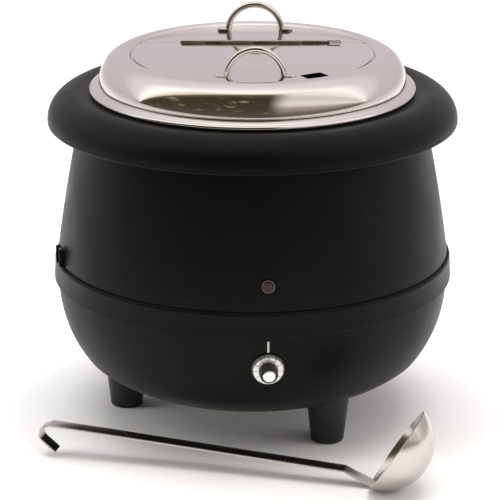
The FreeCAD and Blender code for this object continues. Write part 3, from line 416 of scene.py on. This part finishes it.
def black_paint():
    """Satin black stove enamel with a fine orange-peel skin and faint dust."""
    m = Shader("black_paint")
    m.set(Specular_IOR_Level=0.11, IOR=1.45, Sheen_Weight=0.035, Sheen_Roughness=0.45)
    cloud = m.noise(9.0, 4.0)
    m.color(m.blend(cloud, (0.0018, 0.0024, 0.0022), (0.0036, 0.0044, 0.0041)))
    m.roughness(m.ramp(m.noise(24.0, 5.0), 0.36, 0.46))
    m.bump(m.noise(620.0, 2.0), 0.00010, 0.25)
    m.bump(m.noise(1700.0, 2.0), 0.00004, 0.30)
    return m.material


def mirror_steel(name="mirror_steel", tint=(0.78, 0.735, 0.725), low=0.045, high=0.105):
    """Polished stainless steel with the faint circles of its spinning and wipe marks."""
    m = Shader(name)
    m.set(Metallic=1.0)
    cloud = m.noise(7.0, 4.0)
    dark = tuple(c * 0.94 for c in tint)
    m.color(m.blend(cloud, dark, tint))
    circles = m.noise(900.0, 3.0, vector=m.rings())
    wiped = m.noise(38.0, 6.0, 0.6)
    mixed = m.node("ShaderNodeMath", operation="MULTIPLY")
    m.link(circles, mixed.inputs[0])
    m.link(wiped, mixed.inputs[1])
    m.roughness(m.ramp(mixed.outputs["Value"], low, high, 0.12, 0.42))
    m.bump(circles, 0.00002, 0.10)
    m.bump(m.noise(11.0, 1.0), 0.0012, 0.10)
    return m.material


def satin_steel(name, tint, rough, grain=(60.0, 1200.0, 1200.0)):
    """Drawn or brushed steel, its grain along X."""
    m = Shader(name)
    m.set(Metallic=1.0)
    lines = m.noise(1.0, 3.0, vector=m.scaled(grain))
    m.color(m.blend(lines, tuple(c * 0.8 for c in tint), tint))
    m.roughness(m.ramp(lines, rough * 0.8, rough * 1.25))
    m.bump(lines, 0.00003, 0.3)
    return m.material


def moulded_plastic(name, low, high, rough, peel=900.0, specular=0.4):
    m = Shader(name)
    m.set(Specular_IOR_Level=specular)
    m.color(m.blend(m.noise(40.0, 3.0), low, high))
    m.roughness(m.ramp(m.noise(60.0, 4.0), rough * 0.85, rough * 1.15))
    m.bump(m.noise(peel, 2.0), 0.00006, 0.35)
    return m.material


def red_lens():
    """Dark red translucent plastic with the small prisms moulded in its back."""
    m = Shader("lamp_red")
    m.set(Coat_Weight=0.15, Coat_Roughness=0.12, Specular_IOR_Level=0.25)
    prisms = m.node("ShaderNodeTexVoronoi", Scale=700.0)
    m.link(m.place, prisms.inputs["Vector"])
    m.color(m.blend(prisms.outputs["Distance"], (0.060, 0.008, 0.009), (0.022, 0.004, 0.005), 0.1, 0.6))
    m.roughness(m.ramp(m.noise(200.0), 0.18, 0.3))
    m.bump(prisms.outputs["Distance"], 0.0003, 0.4)
    return m.material


def white_ink():
    m = Shader("white_ink")
    m.color(m.blend(m.noise(500.0, 4.0), (0.62, 0.62, 0.60), (0.82, 0.82, 0.80)))
    m.roughness(m.ramp(m.noise(300.0), 0.4, 0.6))
    return m.material


def studio_floor():
    m = Shader("floor_paper")
    m.color(m.blend(m.noise(1.2, 2.0), (0.90, 0.90, 0.90), (0.92, 0.92, 0.92)))
    m.set(Roughness=0.9, Specular_IOR_Level=0.1)
    return m.material


MATERIALS = {
    "black_paint": black_paint(),
    "mirror_steel": mirror_steel(),
    "hinge_steel": satin_steel("hinge_steel", (0.50, 0.44, 0.40), 0.30),
    "cast_aluminium": satin_steel("cast_aluminium", (0.72, 0.72, 0.73), 0.36, (300.0, 300.0, 900.0)),
    "zinc_steel": satin_steel("zinc_steel", (0.60, 0.60, 0.57), 0.38, (400.0, 400.0, 400.0)),
    "copper_brass": satin_steel("copper_brass", (0.78, 0.47, 0.28), 0.30, (500.0, 500.0, 500.0)),
    "black_plastic": moulded_plastic("black_plastic", (0.006, 0.006, 0.007), (0.011, 0.011, 0.012), 0.42),
    "white_plastic": moulded_plastic("white_plastic", (0.66, 0.64, 0.58), (0.76, 0.74, 0.69), 0.45),
    "white_ink": white_ink(),
    "lamp_red": red_lens(),
    "lamp_ring": moulded_plastic("lamp_ring", (0.085, 0.062, 0.062), (0.120, 0.090, 0.090), 0.3),
    "knob_cap": mirror_steel("knob_cap_steel", (0.80, 0.79, 0.77), 0.18, 0.26),
    "ladle_steel": mirror_steel("ladle_steel", (0.60, 0.565, 0.54), 0.17, 0.28),
}


# ---- outer shells ---------------------------------------------------------

SHEET = 1.2
BOWL = [(100, 34.5), (141, 42.8, "arc"), (167.6, 60), (182.5, 85.5, "arc"), (192.8, 130)]
BAND = [(193.4, 136.8), (197.2, 139.2), (196.1, 158), (195.9, 160.4, "arc"), (194.6, 161.9)]
UPPER = [(193, 144), (193, 166), (182.8, 231, "arc"), (170, 296), (167, 312),
         (165.8, 320.4, "arc"), (160.5, 323.5), (152, 323.5)]
COLLAR = [(144.2, 316.5), (144.2, 323.4), (144.6, 324.4, "arc"), (145.6, 324.7), (162, 324.7),
          (167, 325.7, "arc"), (172, 326.3), (186.2, 322.4, "arc"), (194.9, 315),
          (198.8, 307.94, "arc"), (200.46, 300.5), (200.46, 297.4), (200.0, 295.9, "arc"),
          (198.6, 295.5), (196.5, 295.4)]


def build_shells():
    paint = MATERIALS["black_paint"]
    lower = pressed("lower_shell_skin", [(78, 34.5)] + BOWL + BAND, SHEET, side=-1)
    on_body(lower, "root", "lower_shell", paint)
    upper = pressed("upper_shell_skin", UPPER, SHEET, side=-1)
    on_body(upper, "root", "upper_shell", paint)
    collar = pressed("collar_skin", COLLAR, SHEET, side=1)
    on_body(collar, "root", "collar", paint)


def bowl_height(radius):
    """The height of the bowl's outside at a radius in metres."""
    line = [(0.0, 34.5 * MM)] + trace(BOWL)
    for (r0, z0), (r1, z1) in zip(line, line[1:]):
        if r0 <= radius <= r1 and r1 > r0:
            return z0 + (z1 - z0) * (radius - r0) / (r1 - r0)
    return line[-1][1]


FEET = ("foot_right", "foot_rear", "foot_left")
FOOT_AZIMUTH = 34.8            # of the first foot, in degrees
FOOT_RING = 127.7 * MM         # the feet's distance from the kettle's axis
FOOT_SOLE, FOOT_HEAD, FOOT_TALL = 15.8, 22.0, 56.0
BOLT_HOLE = 8.0


def build_feet():
    """Tapered feet whose tops follow the bowl."""
    taper = (FOOT_HEAD - FOOT_SOLE) / FOOT_TALL
    line = trace([(BOLT_HOLE, 8.0), (BOLT_HOLE, 0.8), (8.6, 0.0), (14.2, 0.0),
                  (15.3, 0.5, "arc"), (15.95, 1.6)], 5)
    line += [((FOOT_SOLE + taper * z) * MM, z * MM) for z in (8, 16, 24, 32)]
    turns = 72
    size = len(line) + 2
    for index, name in enumerate(FEET):
        azimuth = math.radians(FOOT_AZIMUTH + 120 * index)
        centre = Vector((FOOT_RING * math.sin(azimuth), -FOOT_RING * math.cos(azimuth), 0))
        verts, faces = [], []
        for step in range(turns):
            angle = FULL_TURN * step / turns
            ray = Vector((math.cos(angle), math.sin(angle), 0))
            for r, z in line:
                verts.append(centre + ray * r + Vector((0, 0, z)))
            radius, top = meet_bowl(centre, ray, taper)
            verts.append(centre + ray * radius + Vector((0, 0, top)))
            inner = centre + ray * BOLT_HOLE * MM
            verts.append(inner + Vector((0, 0, bowl_height(math.hypot(inner.x, inner.y)))))
        for step in range(turns):
            a, b = step * size, ((step + 1) % turns) * size
            for i in range(size):
                j = (i + 1) % size
                faces.append((a + i, a + j, b + j, b + i))
        foot = make_object(name + "_moulding", verts, faces)
        on_body(foot, "root", name, MATERIALS["black_plastic"])


def meet_bowl(centre, ray, taper):
    """The foot's radius along a ray, and the height, where its taper meets the bowl."""
    radius = 20.0 * MM
    for _ in range(6):
        spot = centre + ray * radius
        top = bowl_height(math.hypot(spot.x, spot.y))
        radius = FOOT_SOLE * MM + taper * top
    return radius, top


# ---- pan, well and lid ----------------------------------------------------

WELL = [(0, 128), (124.5, 128), (140.06, 134.44, "arc"), (146.5, 150), (146.5, 322.2), (160, 322.2)]
PAN = [(0, 150), (119, 150), (134.56, 156.44, "arc"), (141, 172), (141, 329), (142.6, 332.3, "arc"),
       (146, 333.3), (150.5, 333.3), (153.9, 332.3, "arc"), (156.8, 330.5), (159.4, 327.6, "arc"),
       (157.2, 325.1), (155.9, 325.2, "arc"), (155.2, 326.0)]
DOME = [(118.2, 360.4), (119.7, 361.9), (121.9, 363.2, "arc"), (124.5, 364.0),
        (134.1, 361.6, "arc"), (141, 357.3), (146.71, 348.69, "arc"), (149.7, 338.8), (150.2, 335.6),
        (149.66, 334.1, "arc"), (148.4, 333.6), (138.6, 333.6), (138.6, 327)]
LID_SHEET = 0.9
DECK_LOW, DECK_TOP = 360.4, 361.6          # the lid's fixed rear half
FLAP_LOW, FLAP_TOP = 360.7, 361.5
DECK_RADIUS = 119.4 * MM
FLAP_RADIUS = 117 * MM
LEDGE = [(108, DECK_LOW), (118.2, DECK_LOW)]
NOTCH_AZIMUTH = math.radians(32.5)
NOTCH_HALF = 11.75 * MM
HINGE_Y = 42.0 * MM
HINGE_Z = 362.3 * MM
HINGE_LEFT = -71.0 * MM
KNUCKLE = 24.0 * MM
KNUCKLES = 6
FORK = 14.0 * MM
BARREL = 1.8 * MM
EDGE_GAP = 0.17 * MM
SLOT_REACH = 2.5 * MM          # the hinge slot, to each side of the hinge line
SLOT_GAP = 0.6 * MM            # past each end of the hinge


def circle_points(radius, first, last, count):
    """Points on a circle by azimuth from the front, first to last in radians."""
    return [
        (radius * math.sin(first + (last - first) * k / count),
         -radius * math.cos(first + (last - first) * k / count))
        for k in range(count + 1)
    ]


def slot_side(edge_y, slot_y, left, right):
    """The straight edge beside the hinge, with the slot its barrel stands in."""
    return [(left, edge_y), (left, slot_y), (right, slot_y), (right, edge_y)]


def build_pan():
    pan = pressed("pan_shell", PAN, 1.0, steps=12, round_ends=(False, True))
    on_body(pan, "pan", "inner_pan", MATERIALS["mirror_steel"])
    well = pressed("well_shell", WELL, 1.5, steps=12, round_ends=(False, True))
    on_body(well, "root", "well", MATERIALS["cast_aluminium"])


def build_lid():
    steel = MATERIALS["mirror_steel"]
    dome = turn_loop(sheet_loop(DOME, LID_SHEET))
    half = math.asin(NOTCH_HALF / (113 * MM))
    ledge_loop = sheet_loop(LEDGE, LID_SHEET, round_ends=(True, False))
    ledge = turn_loop(ledge_loop, start=NOTCH_AZIMUTH + half, sweep=FULL_TURN - 2 * half)
    left = HINGE_LEFT - SLOT_GAP
    right = HINGE_LEFT + KNUCKLES * KNUCKLE + FORK + SLOT_GAP
    edge_y = HINGE_Y + EDGE_GAP
    reach = math.acos(-edge_y / DECK_RADIUS)
    rim = circle_points(DECK_RADIUS, reach, FULL_TURN - reach, 120)
    outline = rim + slot_side(edge_y, HINGE_Y + SLOT_REACH, left, right)
    deck = plate(outline, DECK_LOW * MM, DECK_TOP * MM, 0.3 * MM)
    lid = join_parts("lid_shell", [dome, ledge, deck])
    on_body(lid, "lid", "lid_dome", steel)
    edge_y = HINGE_Y - EDGE_GAP
    reach = math.acos(-edge_y / FLAP_RADIUS)
    half = math.asin(NOTCH_HALF / FLAP_RADIUS)
    first = circle_points(FLAP_RADIUS, -reach, NOTCH_AZIMUTH - half, 110)
    second = circle_points(FLAP_RADIUS, NOTCH_AZIMUTH + half, reach, 60)
    slot = list(reversed(slot_side(edge_y, HINGE_Y - SLOT_REACH, left, right)))
    outline = first + notch_corners(99.0 * MM) + second + slot
    flap = join_parts("flap_plate", [plate(outline, FLAP_LOW * MM, FLAP_TOP * MM, 0.22 * MM)])
    on_body(flap, "flap", "lid_flap", steel)


def notch_corners(radius, corner=2.0 * MM):
    """The closed end of the ladle notch, with small corner rounds."""
    out = Vector((math.sin(NOTCH_AZIMUTH), -math.cos(NOTCH_AZIMUTH)))
    side = Vector((math.cos(NOTCH_AZIMUTH), math.sin(NOTCH_AZIMUTH)))
    points = []
    for sign in (-1, 1):
        centre = out * (radius + corner) + side * sign * (NOTCH_HALF - corner)
        for k in range(5):
            t = math.pi / 2 * (k if sign < 0 else 4 - k) / 4
            spot = centre + side * sign * corner * math.cos(t) - out * corner * math.sin(t)
            points.append((spot.x, spot.y))
    return points


def build_handle(name, node, body, y, deck):
    """A wire arch that stands on two thin tabs with rounded ends."""
    rod, arch, rise, middle = 3.25 * MM, 26.75 * MM, 28.7 * MM, 2.5 * MM
    centre = deck + rise - rod - arch
    sink = 0.3 * MM
    reach = math.acos((deck - sink - centre) / arch)
    steps = 56
    centres = []
    for k in range(steps + 1):
        t = reach * (1 - 2 * k / steps)
        centres.append(Vector((middle + arch * math.sin(t), y, centre + arch * math.cos(t))))
    ring = round_section(rod, 28)
    parts = [sweep_section(centres, ring, Vector((0, 1, 0)))]
    half, end, thick = 4.5 * MM, 38.5 * MM, 1.2 * MM
    for side in (-1, 1):
        outline = [(middle + side * arch, y - side * half)]
        for k in range(17):
            t = math.pi * k / 16
            outline.append((middle + side * (end - half + half * math.sin(t)),
                            y - side * half * math.cos(t)))
        outline.append((middle + side * arch, y + side * half))
        parts.append(plate(outline, deck, deck + thick, 0.4 * MM))
    piece = join_parts(name, parts)
    on_body(piece, body, node, MATERIALS["mirror_steel"])


def rod_along_x(start, end, y, z, radius, edge=0.35 * MM, bore=0.0, count=40):
    """A bar along X with rounded ends, and a bore where it is a knuckle."""
    rounding = 3
    loop = []
    for x, sign in ((start, 1), (end, -1)):
        ring = []
        for k in range(rounding + 1):
            t = math.pi / 2 * k / rounding
            ring.append((x + sign * edge * (1 - math.sin(t)), radius - edge * (1 - math.cos(t))))
        loop += list(reversed(ring)) if sign > 0 else ring
    near, far = loop[:rounding + 1], loop[rounding + 1:]
    loop = [(start, bore)] + sorted(near, key=lambda p: p[1]) + far + [(end, bore)]
    verts, faces = [], []
    for k in range(count):
        t = 2 * math.pi * k / count
        verts.extend([Vector((x, y + r * math.cos(t), z + r * math.sin(t))) for x, r in loop])
    size = len(loop)
    for k in range(count):
        a, b = k * size, ((k + 1) % count) * size
        for i in range(size):
            j = (i + 1) % size
            if bore == 0 and i == size - 1:
                continue
            faces.append((a + i, a + j, b + j, b + i))
    return clean(verts, faces)


def block(low, high):
    """A box between two corners."""
    x0, y0, z0 = low
    x1, y1, z1 = high
    verts = [Vector(p) for p in ((x0, y0, z0), (x1, y0, z0), (x1, y1, z0), (x0, y1, z0),
                                 (x0, y0, z1), (x1, y0, z1), (x1, y1, z1), (x0, y1, z1))]
    faces = [(0, 3, 2, 1), (4, 5, 6, 7), (0, 1, 5, 4), (1, 2, 6, 5), (2, 3, 7, 6), (3, 0, 4, 7)]
    return verts, faces


def build_hinge():
    """Two leaves under the lid with knuckles by turns, and a split pin through them."""
    gap, bore, leaf_thick = 0.2 * MM, 1.05 * MM, 0.8 * MM
    end = HINGE_LEFT + KNUCKLES * KNUCKLE
    for name, node, body, first, side, top in (
        ("hinge_front", "hinge_moving_leaf", "flap", 0, -1, FLAP_LOW * MM),
        ("hinge_rear", "hinge_fixed_leaf", "lid", 1, 1, DECK_LOW * MM),
    ):
        leaf_low = top - leaf_thick
        web = sorted((HINGE_Y + side * 1.2 * MM, HINGE_Y + side * 1.8 * MM))
        leaf = sorted((HINGE_Y + side * 3.0 * MM, HINGE_Y + side * 16.0 * MM))
        parts = []
        for index in range(first, KNUCKLES, 2):
            x0 = HINGE_LEFT + KNUCKLE * index + gap
            x1 = x0 + KNUCKLE - 2 * gap
            parts.append(rod_along_x(x0, x1, HINGE_Y, HINGE_Z, BARREL, bore=bore))
            parts.append(block((x0, web[0], leaf_low), (x1, web[1], HINGE_Z - 0.6 * MM)))
        parts.append(block((HINGE_LEFT, leaf[0], leaf_low), (end, leaf[1], top)))
        piece = join_parts(name, parts)
        on_body(piece, body, node, MATERIALS["hinge_steel"])
    build_pin(end)


def build_pin(end):
    """The pin and its split right end: a short stem and two straight tines."""
    stem, stem_end, tine_end = end + 1.0 * MM, end + 3.0 * MM, end + 13.8 * MM
    near, far = HINGE_Y - 1.5 * MM, HINGE_Y + 1.5 * MM
    parts = [rod_along_x(HINGE_LEFT, stem_end, HINGE_Y, HINGE_Z, 1.0 * MM, 0.2 * MM, count=24)]
    parts.append(block((stem, near, HINGE_Z - 1.4 * MM), (stem_end, far, HINGE_Z + 1.4 * MM)))
    for low, high in ((0.6, 1.4), (-1.4, -0.6)):
        parts.append(block((stem_end, near, HINGE_Z + low * MM), (tine_end, far, HINGE_Z + high * MM)))
    piece = join_parts("hinge_pin_fork", parts)
    on_body(piece, "lid", "hinge_pin", MATERIALS["hinge_steel"])


# ---- controls on the front ------------------------------------------------

CONTROL_AZIMUTH = math.radians(4.3)
KNOB_TILT = 9.0                # the dial faces down by this many degrees
KNOB_HEIGHT = 106 * MM
LAMP_HEIGHT = 187 * MM
DIAL_MARKS = 12
DIAL = [(3.0, 0.6), (15.1, 0.6), (15.5, 1.0), (15.2, 2.2), (14.3, 4.2), (13.9, 4.9, "arc"),
        (13.2, 5.1), (3.0, 5.1), (3.0, 0.6)]
GRIP = [(3.0, 5.12), (9.0, 5.12), (9.2, 5.5), (8.5, 12.4), (8.2, 13.3, "arc"), (7.2, 13.6),
        (3.0, 13.6), (3.0, 5.12)]
CAP = [(0, 13.62), (6.1, 13.62), (6.2, 14.1), (5.9, 15.3), (5.3, 15.95, "arc"), (4.4, 16.0),
       (2.2, 16.0), (0, 16.0)]
FLUTES = 12
FLUTE_DEPTH = 0.45 * MM


def face_frame(radius, azimuth, height, tilt=0.0):
    """A matrix whose +Z points outward from the kettle's side."""
    turn = Matrix.Rotation(azimuth, 4, "Z") @ Matrix.Rotation(math.radians(90 + tilt), 4, "X")
    spot = Vector((radius * math.sin(azimuth), -radius * math.cos(azimuth), height))
    return Matrix.Translation(spot) @ turn


def turned_on(name, path, place, turns=72, steps=6, ripple=None):
    """A solid turned about its own axis and set on the kettle's side."""
    line = trace(path, steps)
    verts, faces = turn_loop(line, closed=False, turns=turns)
    if ripple:
        verts = [ripple(v) for v in verts]
    verts = [place @ v for v in verts]
    return make_object(name, verts, faces)


def grip_ripple(vertex):
    """Shallow flutes round the side of the knob's grip."""
    radius = math.hypot(vertex.x, vertex.y)
    if radius < 7.6 * MM or vertex.z < 5.3 * MM or vertex.z > 13.0 * MM:
        return vertex
    angle = math.atan2(vertex.y, vertex.x)
    dip = FLUTE_DEPTH * max(math.cos(FLUTES * angle), 0.0) ** 2
    share = (radius - dip) / radius
    return Vector((vertex.x * share, vertex.y * share, vertex.z))


def build_knob():
    side = face_frame(189.4 * MM, CONTROL_AZIMUTH, KNOB_HEIGHT, KNOB_TILT)
    place = side @ Matrix.Translation((0, 0, 0.8 * MM))
    dial = turned_on("knob_dial_ring", DIAL, place)
    on_body(dial, "knob", "knob_dial", dial_metal(place))
    grip = turned_on("knob_grip_moulding", GRIP, place, turns=144, ripple=grip_ripple)
    on_body(grip, "knob", "knob_grip", MATERIALS["black_plastic"])
    cap = turned_on("knob_cap_disc", CAP, place)
    on_body(cap, "knob", "knob_cap", MATERIALS["knob_cap"])


def dial_metal(place):
    """Turned steel with a ring of engraved marks, as on a plain dial."""
    m = Shader("dial_steel")
    m.set(Metallic=1.0)
    inverse = place.inverted()
    mapping = m.node("ShaderNodeMapping", vector_type="POINT")
    mapping.inputs["Location"].default_value = inverse.to_translation()
    mapping.inputs["Rotation"].default_value = inverse.to_euler()
    m.link(m.place, mapping.inputs["Vector"])
    split = m.node("ShaderNodeSeparateXYZ")
    m.link(mapping.outputs["Vector"], split.inputs["Vector"])
    angle = m.node("ShaderNodeMath", operation="ARCTAN2")
    m.link(split.outputs["Y"], angle.inputs[0])
    m.link(split.outputs["X"], angle.inputs[1])
    many = m.node("ShaderNodeMath", operation="MULTIPLY")
    many.inputs[1].default_value = DIAL_MARKS
    m.link(angle.outputs["Value"], many.inputs[0])
    wave = m.node("ShaderNodeMath", operation="COSINE")
    m.link(many.outputs["Value"], wave.inputs[0])
    mark = m.ramp(wave.outputs["Value"], 0.0, 1.0, 0.93, 0.97)
    m.color(m.blend(mark, (0.72, 0.70, 0.68), (0.22, 0.21, 0.20), 0.2, 0.8))
    m.roughness(m.ramp(m.noise(500.0, 3.0), 0.30, 0.46))
    m.bump(m.noise(900.0, 2.0), 0.00004, 0.3)
    return m.material


def build_lamp():
    place = face_frame(190.6 * MM, CONTROL_AZIMUTH, LAMP_HEIGHT)
    ring = turned_on("lamp_bezel", [(4.4, 1.0), (6.0, 1.0), (6.2, 1.3), (6.0, 1.9, "arc"), (5.6, 2.15),
                                    (4.4, 2.15), (4.4, 1.0)], place)
    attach(ring, "root")
    ring.data.materials.append(MATERIALS["lamp_ring"])
    lens = turned_on("lamp_lens_cap", [(0, 2.2), (5.2, 2.2), (5.3, 2.5), (4.9, 3.2), (3.9, 3.45, "arc"),
                                       (2.9, 3.5), (0, 3.5)], place)
    on_body(lens, "root", "lamp_lens", MATERIALS["lamp_red"])


# ---- ladle ----------------------------------------------------------------

LADLE_TURN = Matrix.Rotation(math.radians(165.9), 4, "Z")
LADLE_PLACE = Matrix.Translation((110 * MM, -218.8 * MM, 0)) @ LADLE_TURN


def build_ladle():
    """The bowl, part of a ball that leans on its rim, and the strip handle with its hook."""
    steel = MATERIALS["ladle_steel"]
    radius, deep, wall = 44.0 * MM, 33.0 * MM, 1.2 * MM
    ball = (radius ** 2 + deep ** 2) / (2 * deep)
    outer = [(ball * math.sin(t), ball - deep - ball * math.cos(t)) for t in arc_angles(ball, radius)]
    inner = [((ball - wall) * math.sin(t), ball - deep - (ball - wall) * math.cos(t))
             for t in arc_angles(ball, radius)]
    lip = rounded_end(outer[-1], inner[-1], (1, 1), 6)
    lip = [(r, min(z, 0.0)) for r, z in lip]
    loop = outer + lip + list(reversed(inner))
    verts, faces = turn_loop(loop, closed=False, turns=128)
    lean = Matrix.Rotation(math.radians(57), 4, "Y")
    rim = lean @ Vector((radius, 0, 0))
    shift = Matrix.Translation(Vector((0, 0, 2.2 * MM)) - rim)
    place = LADLE_PLACE @ shift @ lean
    cup = make_object("ladle_cup", [place @ v for v in verts], faces)
    on_body(cup, "ladle", "ladle_bowl", steel)
    points = [(-5.0, 1.15), (25.0, 14.6), (304.0, 31.0), (312.0, 31.4), (321.6, 28.0), (322.6, 18.0),
              (307.0, 5.0)]
    line = smooth_line([Vector((x * MM, 0, z * MM)) for x, z in points], 6.0 * MM)
    verts, faces = sweep_section(line, strip_section(2.0 * MM, 15.0 * MM, 0.7 * MM), Vector((0, 1, 0)))
    strip = make_object("ladle_strip", [LADLE_PLACE @ v for v in verts], faces)
    on_body(strip, "ladle", "ladle_handle", steel)


def arc_angles(ball, radius, count=40):
    """Angles from the ball's lowest point out to a radius."""
    last = math.asin(radius / ball)
    return [last * k / count for k in range(count + 1)]


# ---- small fittings -------------------------------------------------------

def finish_nodes():
    """Every CAD node gets its slot's material; the pieces built later replace some."""
    slots = {part["node"]: part["material_slot"] for part in frame["record"]["subparts"]}
    for name, node in frame["nodes"].items():
        node.data.materials.clear()
        node.data.materials.append(MATERIALS[slots[name]])


# ---- stage, light and camera ----------------------------------------------

def build_stage():
    floor = join_parts("floor", [block((-12, -12, -0.05), (12, 12, -0.0002))])
    floor.data.materials.append(studio_floor())


def area_light(name, place, target, size, power):
    data = bpy.data.lights.new(name, "AREA")
    data.shape = "RECTANGLE"
    data.size, data.size_y = size
    data.energy = power
    lamp = bpy.data.objects.new(name, data)
    lamp.location = place
    lamp.rotation_euler = (Vector(target) - Vector(place)).to_track_quat("-Z", "Y").to_euler()
    lamp.visible_glossy = False
    bpy.context.scene.collection.objects.link(lamp)
    return lamp


def room_ramp(tree, angle, stops):
    """Colours of the room by the angle up from the back horizon, in degrees."""
    ramp = tree.nodes.new("ShaderNodeValToRGB")
    ramp.color_ramp.interpolation = "EASE"
    tree.links.new(angle, ramp.inputs["Fac"])
    elements = ramp.color_ramp.elements
    for _ in range(len(stops) - 2):
        elements.new(0.5)
    for element, (degrees, color) in zip(elements, stops):
        element.position = (degrees + 180) / 360
        element.color = (*color, 1)
    return ramp.outputs["Color"]


def warm_lamps(tree, direction, angle, room):
    """Small warm lamps and pale walls scattered through the dark of the room."""
    spots = tree.nodes.new("ShaderNodeTexNoise")
    spots.inputs["Scale"].default_value = 5.5
    spots.inputs["Detail"].default_value = 5.0
    spots.inputs["Roughness"].default_value = 0.62
    tree.links.new(direction, spots.inputs["Vector"])
    lit = tree.nodes.new("ShaderNodeMapRange")
    lit.interpolation_type = "SMOOTHSTEP"
    lit.inputs["From Min"].default_value = 0.56
    lit.inputs["From Max"].default_value = 0.72
    tree.links.new(spots.outputs["Fac"], lit.inputs["Value"])
    within = room_ramp(tree, angle, [(118, (0, 0, 0)), (126, (0.75, 0.75, 0.75)), (170, (0.55, 0.55, 0.55)),
                                     (180, (0.2, 0.2, 0.2))])
    share = tree.nodes.new("ShaderNodeMath")
    share.operation = "MULTIPLY"
    tree.links.new(lit.outputs["Result"], share.inputs[0])
    tree.links.new(within, share.inputs[1])
    mix = tree.nodes.new("ShaderNodeMix")
    mix.data_type = "RGBA"
    tree.links.new(share.outputs["Value"], mix.inputs["Factor"])
    tree.links.new(room, mix.inputs["A"])
    mix.inputs["B"].default_value = (0.62, 0.54, 0.33, 1)
    return mix.outputs["Result"]


def build_room():
    """The room that the polished steel mirrors: pale behind and overhead, and
    dark with warm lamps at the front left."""
    world = bpy.data.worlds.new("studio")
    bpy.context.scene.world = world
    world.use_nodes = True
    tree = world.node_tree
    back = tree.nodes["Background"]
    back.inputs["Strength"].default_value = 1.0
    coords = tree.nodes.new("ShaderNodeTexCoord")
    split = tree.nodes.new("ShaderNodeSeparateXYZ")
    tree.links.new(coords.outputs["Generated"], split.inputs["Vector"])
    turn = tree.nodes.new("ShaderNodeMath")
    turn.operation = "ARCTAN2"
    tree.links.new(split.outputs["Z"], turn.inputs[0])
    tree.links.new(split.outputs["Y"], turn.inputs[1])
    angle = tree.nodes.new("ShaderNodeMapRange")
    angle.inputs["From Min"].default_value = -math.pi
    angle.inputs["From Max"].default_value = math.pi
    tree.links.new(turn.outputs["Value"], angle.inputs["Value"])
    angle = angle.outputs["Result"]
    left = warm_lamps(tree, coords.outputs["Generated"], angle, room_ramp(tree, angle, ROOM_LEFT))
    right = room_ramp(tree, angle, ROOM_RIGHT)
    side = tree.nodes.new("ShaderNodeMapRange")
    side.interpolation_type = "SMOOTHSTEP"
    side.inputs["From Min"].default_value = 0.16
    side.inputs["From Max"].default_value = 0.42
    tree.links.new(split.outputs["X"], side.inputs["Value"])
    mix = tree.nodes.new("ShaderNodeMix")
    mix.data_type = "RGBA"
    tree.links.new(side.outputs["Result"], mix.inputs["Factor"])
    tree.links.new(left, mix.inputs["A"])
    tree.links.new(right, mix.inputs["B"])
    tree.links.new(mix.outputs["Result"], back.inputs["Color"])


ROOM_LEFT = [
    (-180, (0.05, 0.045, 0.035)), (-30, (0.30, 0.28, 0.27)), (0, (0.66, 0.62, 0.63)),
    (30, (0.70, 0.655, 0.665)), (62, (0.92, 0.89, 0.89)), (98, (1.45, 1.41, 1.38)),
    (111, (1.05, 1.0, 0.78)), (118, (0.13, 0.112, 0.065)), (128, (0.06, 0.052, 0.028)),
    (152, (0.070, 0.060, 0.034)), (180, (0.10, 0.085, 0.065)),
]
ROOM_RIGHT = [
    (-180, (0.10, 0.09, 0.08)), (-30, (0.30, 0.28, 0.27)), (0, (0.66, 0.62, 0.63)),
    (30, (0.70, 0.655, 0.665)), (62, (0.88, 0.84, 0.84)), (98, (1.30, 1.25, 1.22)),
    (112, (1.10, 1.04, 1.0)), (126, (0.82, 0.76, 0.73)), (146, (0.98, 0.92, 0.89)),
    (164, (0.42, 0.37, 0.33)), (180, (0.16, 0.14, 0.125)),
]


def build_light():
    build_room()
    area_light("top_box", (0, 0.3, 2.6), (0, 0, 0.2), (2.6, 2.0), 62)
    area_light("left_box", (-2.4, -0.4, 1.3), (0, 0, 0.2), (1.2, 1.8), 18)
    area_light("right_box", (2.4, -0.4, 1.3), (0, 0, 0.2), (1.2, 1.8), 16)


def build_camera():
    data = bpy.data.cameras.new("camera")
    data.sensor_width = 36.0
    data.lens = 174.76
    data.clip_end = 50.0
    camera = bpy.data.objects.new("camera", data)
    camera.location = (-0.0025, -2.300, 0.9196)
    camera.rotation_euler = (math.radians(71.71), 0, 0)
    bpy.context.scene.collection.objects.link(camera)
    bpy.context.scene.camera = camera


build_camera()
finish_nodes()
build_shells()
build_feet()
build_pan()
build_lid()
build_handle("rear_handle_wire", "rear_handle", "lid", 99 * MM, (DECK_TOP - 0.02) * MM)
build_handle("front_handle_wire", "front_handle", "flap", -93 * MM, FLAP_TOP * MM)
build_hinge()
build_knob()
build_lamp()
build_ladle()
build_stage()
build_light()

bpy.context.scene.view_settings.view_transform = "Standard"
